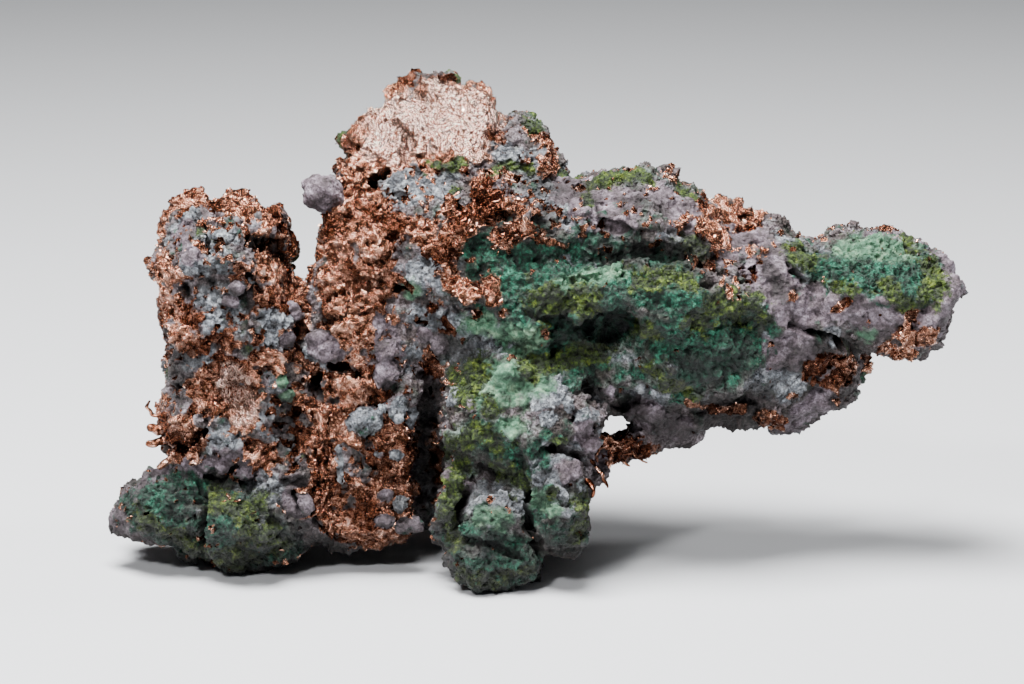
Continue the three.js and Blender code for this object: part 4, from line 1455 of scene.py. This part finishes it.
COPPER_SEEDS = [
    seed_mesh("grain", brick, (0.10, 0.07, 0.05), 0.07),
    seed_mesh("lump", brick, (0.12, 0.06, 0.045), 0.08),
    seed_mesh("flake", brick, (0.16, 0.10, 0.015), 0.07),
    seed_mesh("scale", brick, (0.12, 0.08, 0.02), 0.07),
    seed_mesh("hook", spike, (0.045, 0.04, 0.22), 0.08),
]
NEEDLE_SEEDS = [
    seed_mesh("needle", spike, (0.09, 0.07, 0.62), 0.18),
    seed_mesh("long_needle", spike, (0.08, 0.06, 0.85), 0.22),
    seed_mesh("blade", brick, (0.40, 0.14, 0.05), 0.16),
]
ROCK_SEEDS = [
    seed_mesh("chip", gem, (0.20, 0.15, 0.11), 0.09),
    seed_mesh("grit", gem, (0.15, 0.13, 0.11), 0.08),
    seed_mesh("pebble", ball, (0.17, 0.14, 0.12), 0.07),
]
CRUST_SEEDS = [
    seed_mesh("pellet", gem, (0.15, 0.13, 0.11), 0.08),
    seed_mesh("crumb", gem, (0.12, 0.10, 0.09), 0.06),
]


# %% Strew seeds over the skin
def strewn(host, seeds, share, per_square_mm, least, most, luck):
    """A mesh of seeds strewn over the host. `share` names the layer that says how thickly."""
    tree = bpy.data.node_groups.new("strew", "GeometryNodeTree")
    tree.interface.new_socket("Geometry", in_out="INPUT", socket_type="NodeSocketGeometry")
    tree.interface.new_socket("Geometry", in_out="OUTPUT", socket_type="NodeSocketGeometry")
    add, join = tree.nodes.new, tree.links.new
    start, end = add("NodeGroupInput"), add("NodeGroupOutput")
    layer = add("GeometryNodeInputNamedAttribute")
    layer.inputs["Name"].default_value = share
    thickness = add("ShaderNodeMath")
    thickness.operation = "MULTIPLY"
    thickness.inputs[1].default_value = per_square_mm
    join(layer.outputs["Attribute"], thickness.inputs[0])
    points = add("GeometryNodeDistributePointsOnFaces")
    points.inputs["Seed"].default_value = luck
    join(start.outputs["Geometry"], points.inputs["Mesh"])
    join(thickness.outputs["Value"], points.inputs["Density"])
    both = add("GeometryNodeJoinGeometry")
    for seed in seeds:
        source = add("GeometryNodeObjectInfo")
        source.inputs["Object"].default_value = seed
        source.inputs["As Instance"].default_value = True
        join(source.outputs["Geometry"], both.inputs["Geometry"])
    turn = add("FunctionNodeRandomValue")
    turn.data_type = "FLOAT_VECTOR"
    turn.inputs["Max"].default_value = (6.283, 6.283, 6.283)
    turn.inputs["Seed"].default_value = luck + 1
    size = add("FunctionNodeRandomValue")
    size.data_type = "FLOAT"
    size.inputs[2].default_value = least
    size.inputs[3].default_value = most
    size.inputs["Seed"].default_value = luck + 2
    copies = add("GeometryNodeInstanceOnPoints")
    copies.inputs["Pick Instance"].default_value = True
    join(points.outputs["Points"], copies.inputs["Points"])
    join(both.outputs["Geometry"], copies.inputs["Instance"])
    join(turn.outputs["Value"], copies.inputs["Rotation"])
    join(size.outputs[1], copies.inputs["Scale"])
    real = add("GeometryNodeRealizeInstances")
    join(copies.outputs["Instances"], real.inputs["Geometry"])
    join(real.outputs["Geometry"], end.inputs["Geometry"])
    return modified(host, "NODES", node_group=tree)


def strew(name, finish, mesh):
    shape = bmesh.new()
    shape.from_mesh(mesh)
    for vert in shape.verts:
        vert.co.z = max(vert.co.z, 0.0)
    return finished(name, shape, finish)


# the copper grains are three pieces, because one would be too heavy
LEFT, RIGHT = -18, -5
high_ground = ramp(shares["crest"], 0.35, 0.75)
open_ground = shares["painted_shade"] * ramp(shares["swell"], 0.05, 0.4)
thick_copper = copper * (0.35 + 0.65 * high_ground) * open_ground * (1 - 0.55 * sheet)
across = places[:, 0]
spray = ramp(reach(places, SPRAYS), 0, 0.5)
from_bridge = (places - np.array((7.6, -3.4, 9.8))) / np.array((2.6, 3, 1.2))
bridge = ramp(-np.linalg.norm(from_bridge, axis=1), -1, -0.5)
keep_shares(skin, {
    "copper_strewn_left": thick_copper * (across < LEFT),
    "copper_strewn_middle": thick_copper * (across >= LEFT) * (across < RIGHT),
    "copper_strewn_right": thick_copper * (across >= RIGHT),
    "needles_strewn": np.maximum(spray, bridge),
    "rock_strewn": (1 - copper) * (1 - crust) * (1 - smooth_stone) * open_ground,
    "crust_strewn": ramp(crust, 0.5, 1) * open_ground,
})
skin.update()

for number, part in enumerate(("left", "middle", "right")):
    grains = strewn(skin, COPPER_SEEDS, "copper_strewn_" + part, 13, 0.35, 1.05, 1 + 20 * number)
    strew("copper_grains_" + part, copper_grain_finish, grains)
needles = strewn(skin, NEEDLE_SEEDS, "needles_strewn", 5, 0.4, 1.0, 4)
strew("copper_needles", copper_grain_finish, needles)
grit = strewn(skin, ROCK_SEEDS, "rock_strewn", 3.6, 0.4, 1.2, 7)
strew("rock_grit", skin_finish, grit)
crumbs = strewn(skin, CRUST_SEEDS, "crust_strewn", 9, 0.4, 1.1, 10)
strew("crust_crumbs", skin_finish, crumbs)

# %% [markdown]
# ## Wires and leaves
#
# A few wires and rounded leaves of copper stand clear of the mass. A bevelled curve would give them
# one even thickness, so each is a line of points that the skin modifier gives a body, thicker at
# its root, and then it is crumpled a little.

# %% Copper wires
WIRES = [
    # radius and line: leaves on the left edge of the tower
    (0.26, (-31.0, -3.5, 12.9), (-32.7, -3.8, 13.2), (-33.1, -4.0, 14.0), (-32.9, -4.0, 14.6)),
    (0.62, (-31.2, -4.0, 12.1), (-32.4, -4.2, 12.0), (-33.2, -4.2, 12.4)),
    (0.42, (-31.2, -3.6, 11.4), (-32.5, -3.9, 10.7), (-33.3, -4.0, 10.8)),
    (0.42, (-30.4, -4.0, 9.8), (-31.8, -4.4, 9.1), (-32.3, -4.4, 8.6)),
    # spikes on its copper tip
    (0.24, (-31.0, -3.6, 26.5), (-32.0, -3.7, 26.6), (-32.7, -3.8, 26.2)),
    (0.22, (-31.0, -3.6, 26.0), (-31.9, -4.0, 25.4), (-32.4, -4.0, 25.0)),
    # the wire and the curl beside the front foot
    (0.18, (4.6, -9.4, 10.7), (5.5, -10.4, 9.8), (5.8, -10.7, 9.2), (6.1, -10.6, 8.6)),
    (0.28, (4.2, -10.2, 9.2), (4.9, -11.0, 8.5), (4.7, -11.1, 7.8)),
    # wires that hang from the bridge
    (0.16, (6.2, -4.0, 10.2), (6.5, -4.6, 9.3), (6.3, -4.8, 8.8)),
    (0.18, (7.2, -4.0, 10.0), (7.6, -4.5, 9.2), (8.1, -4.6, 8.9)),
    (0.15, (8.2, -4.0, 10.2), (8.9, -4.5, 9.5), (9.6, -4.6, 9.2)),
    (0.14, (5.6, -4.4, 10.6), (5.2, -4.9, 10.0), (5.3, -5.1, 9.4)),
]
bones = bmesh.new()
for radius, *line in WIRES:
    tip = bones.verts.new(line[0])
    for point in line[1:]:
        grown = bmesh.ops.extrude_vert_indiv(bones, verts=[tip])["verts"][0]
        grown.co = point
        tip = grown
bone_mesh = bpy.data.meshes.new("bones")
bones.to_mesh(bone_mesh)
bones.free()
carrier = bpy.data.objects.new("wire_bones", bone_mesh)
bpy.context.scene.collection.objects.link(carrier)
carrier.modifiers.new("skin", "SKIN")
widths = [radius * share for radius, *line in WIRES for share in np.linspace(1.2, 0.7, len(line))]
bodies = bone_mesh.skin_vertices[0].data
for body, width in zip(bodies, widths):
    body.radius = (width, width * 0.8)
start = 0
for radius, *line in WIRES:
    bodies[start].use_root = True
    start += len(line)
rounding = carrier.modifiers.new("round", "SUBSURF")
rounding.levels = rounding.render_levels = 2
depsgraph = bpy.context.evaluated_depsgraph_get()
wires = bpy.data.meshes.new_from_object(carrier.evaluated_get(depsgraph))
bpy.data.objects.remove(carrier)
put(wires, place_of(wires) + 0.14 * stir(place_of(wires), 0.5, 81))
shape = bmesh.new()
shape.from_mesh(wires)
finished("copper_wires", shape, wire_finish)
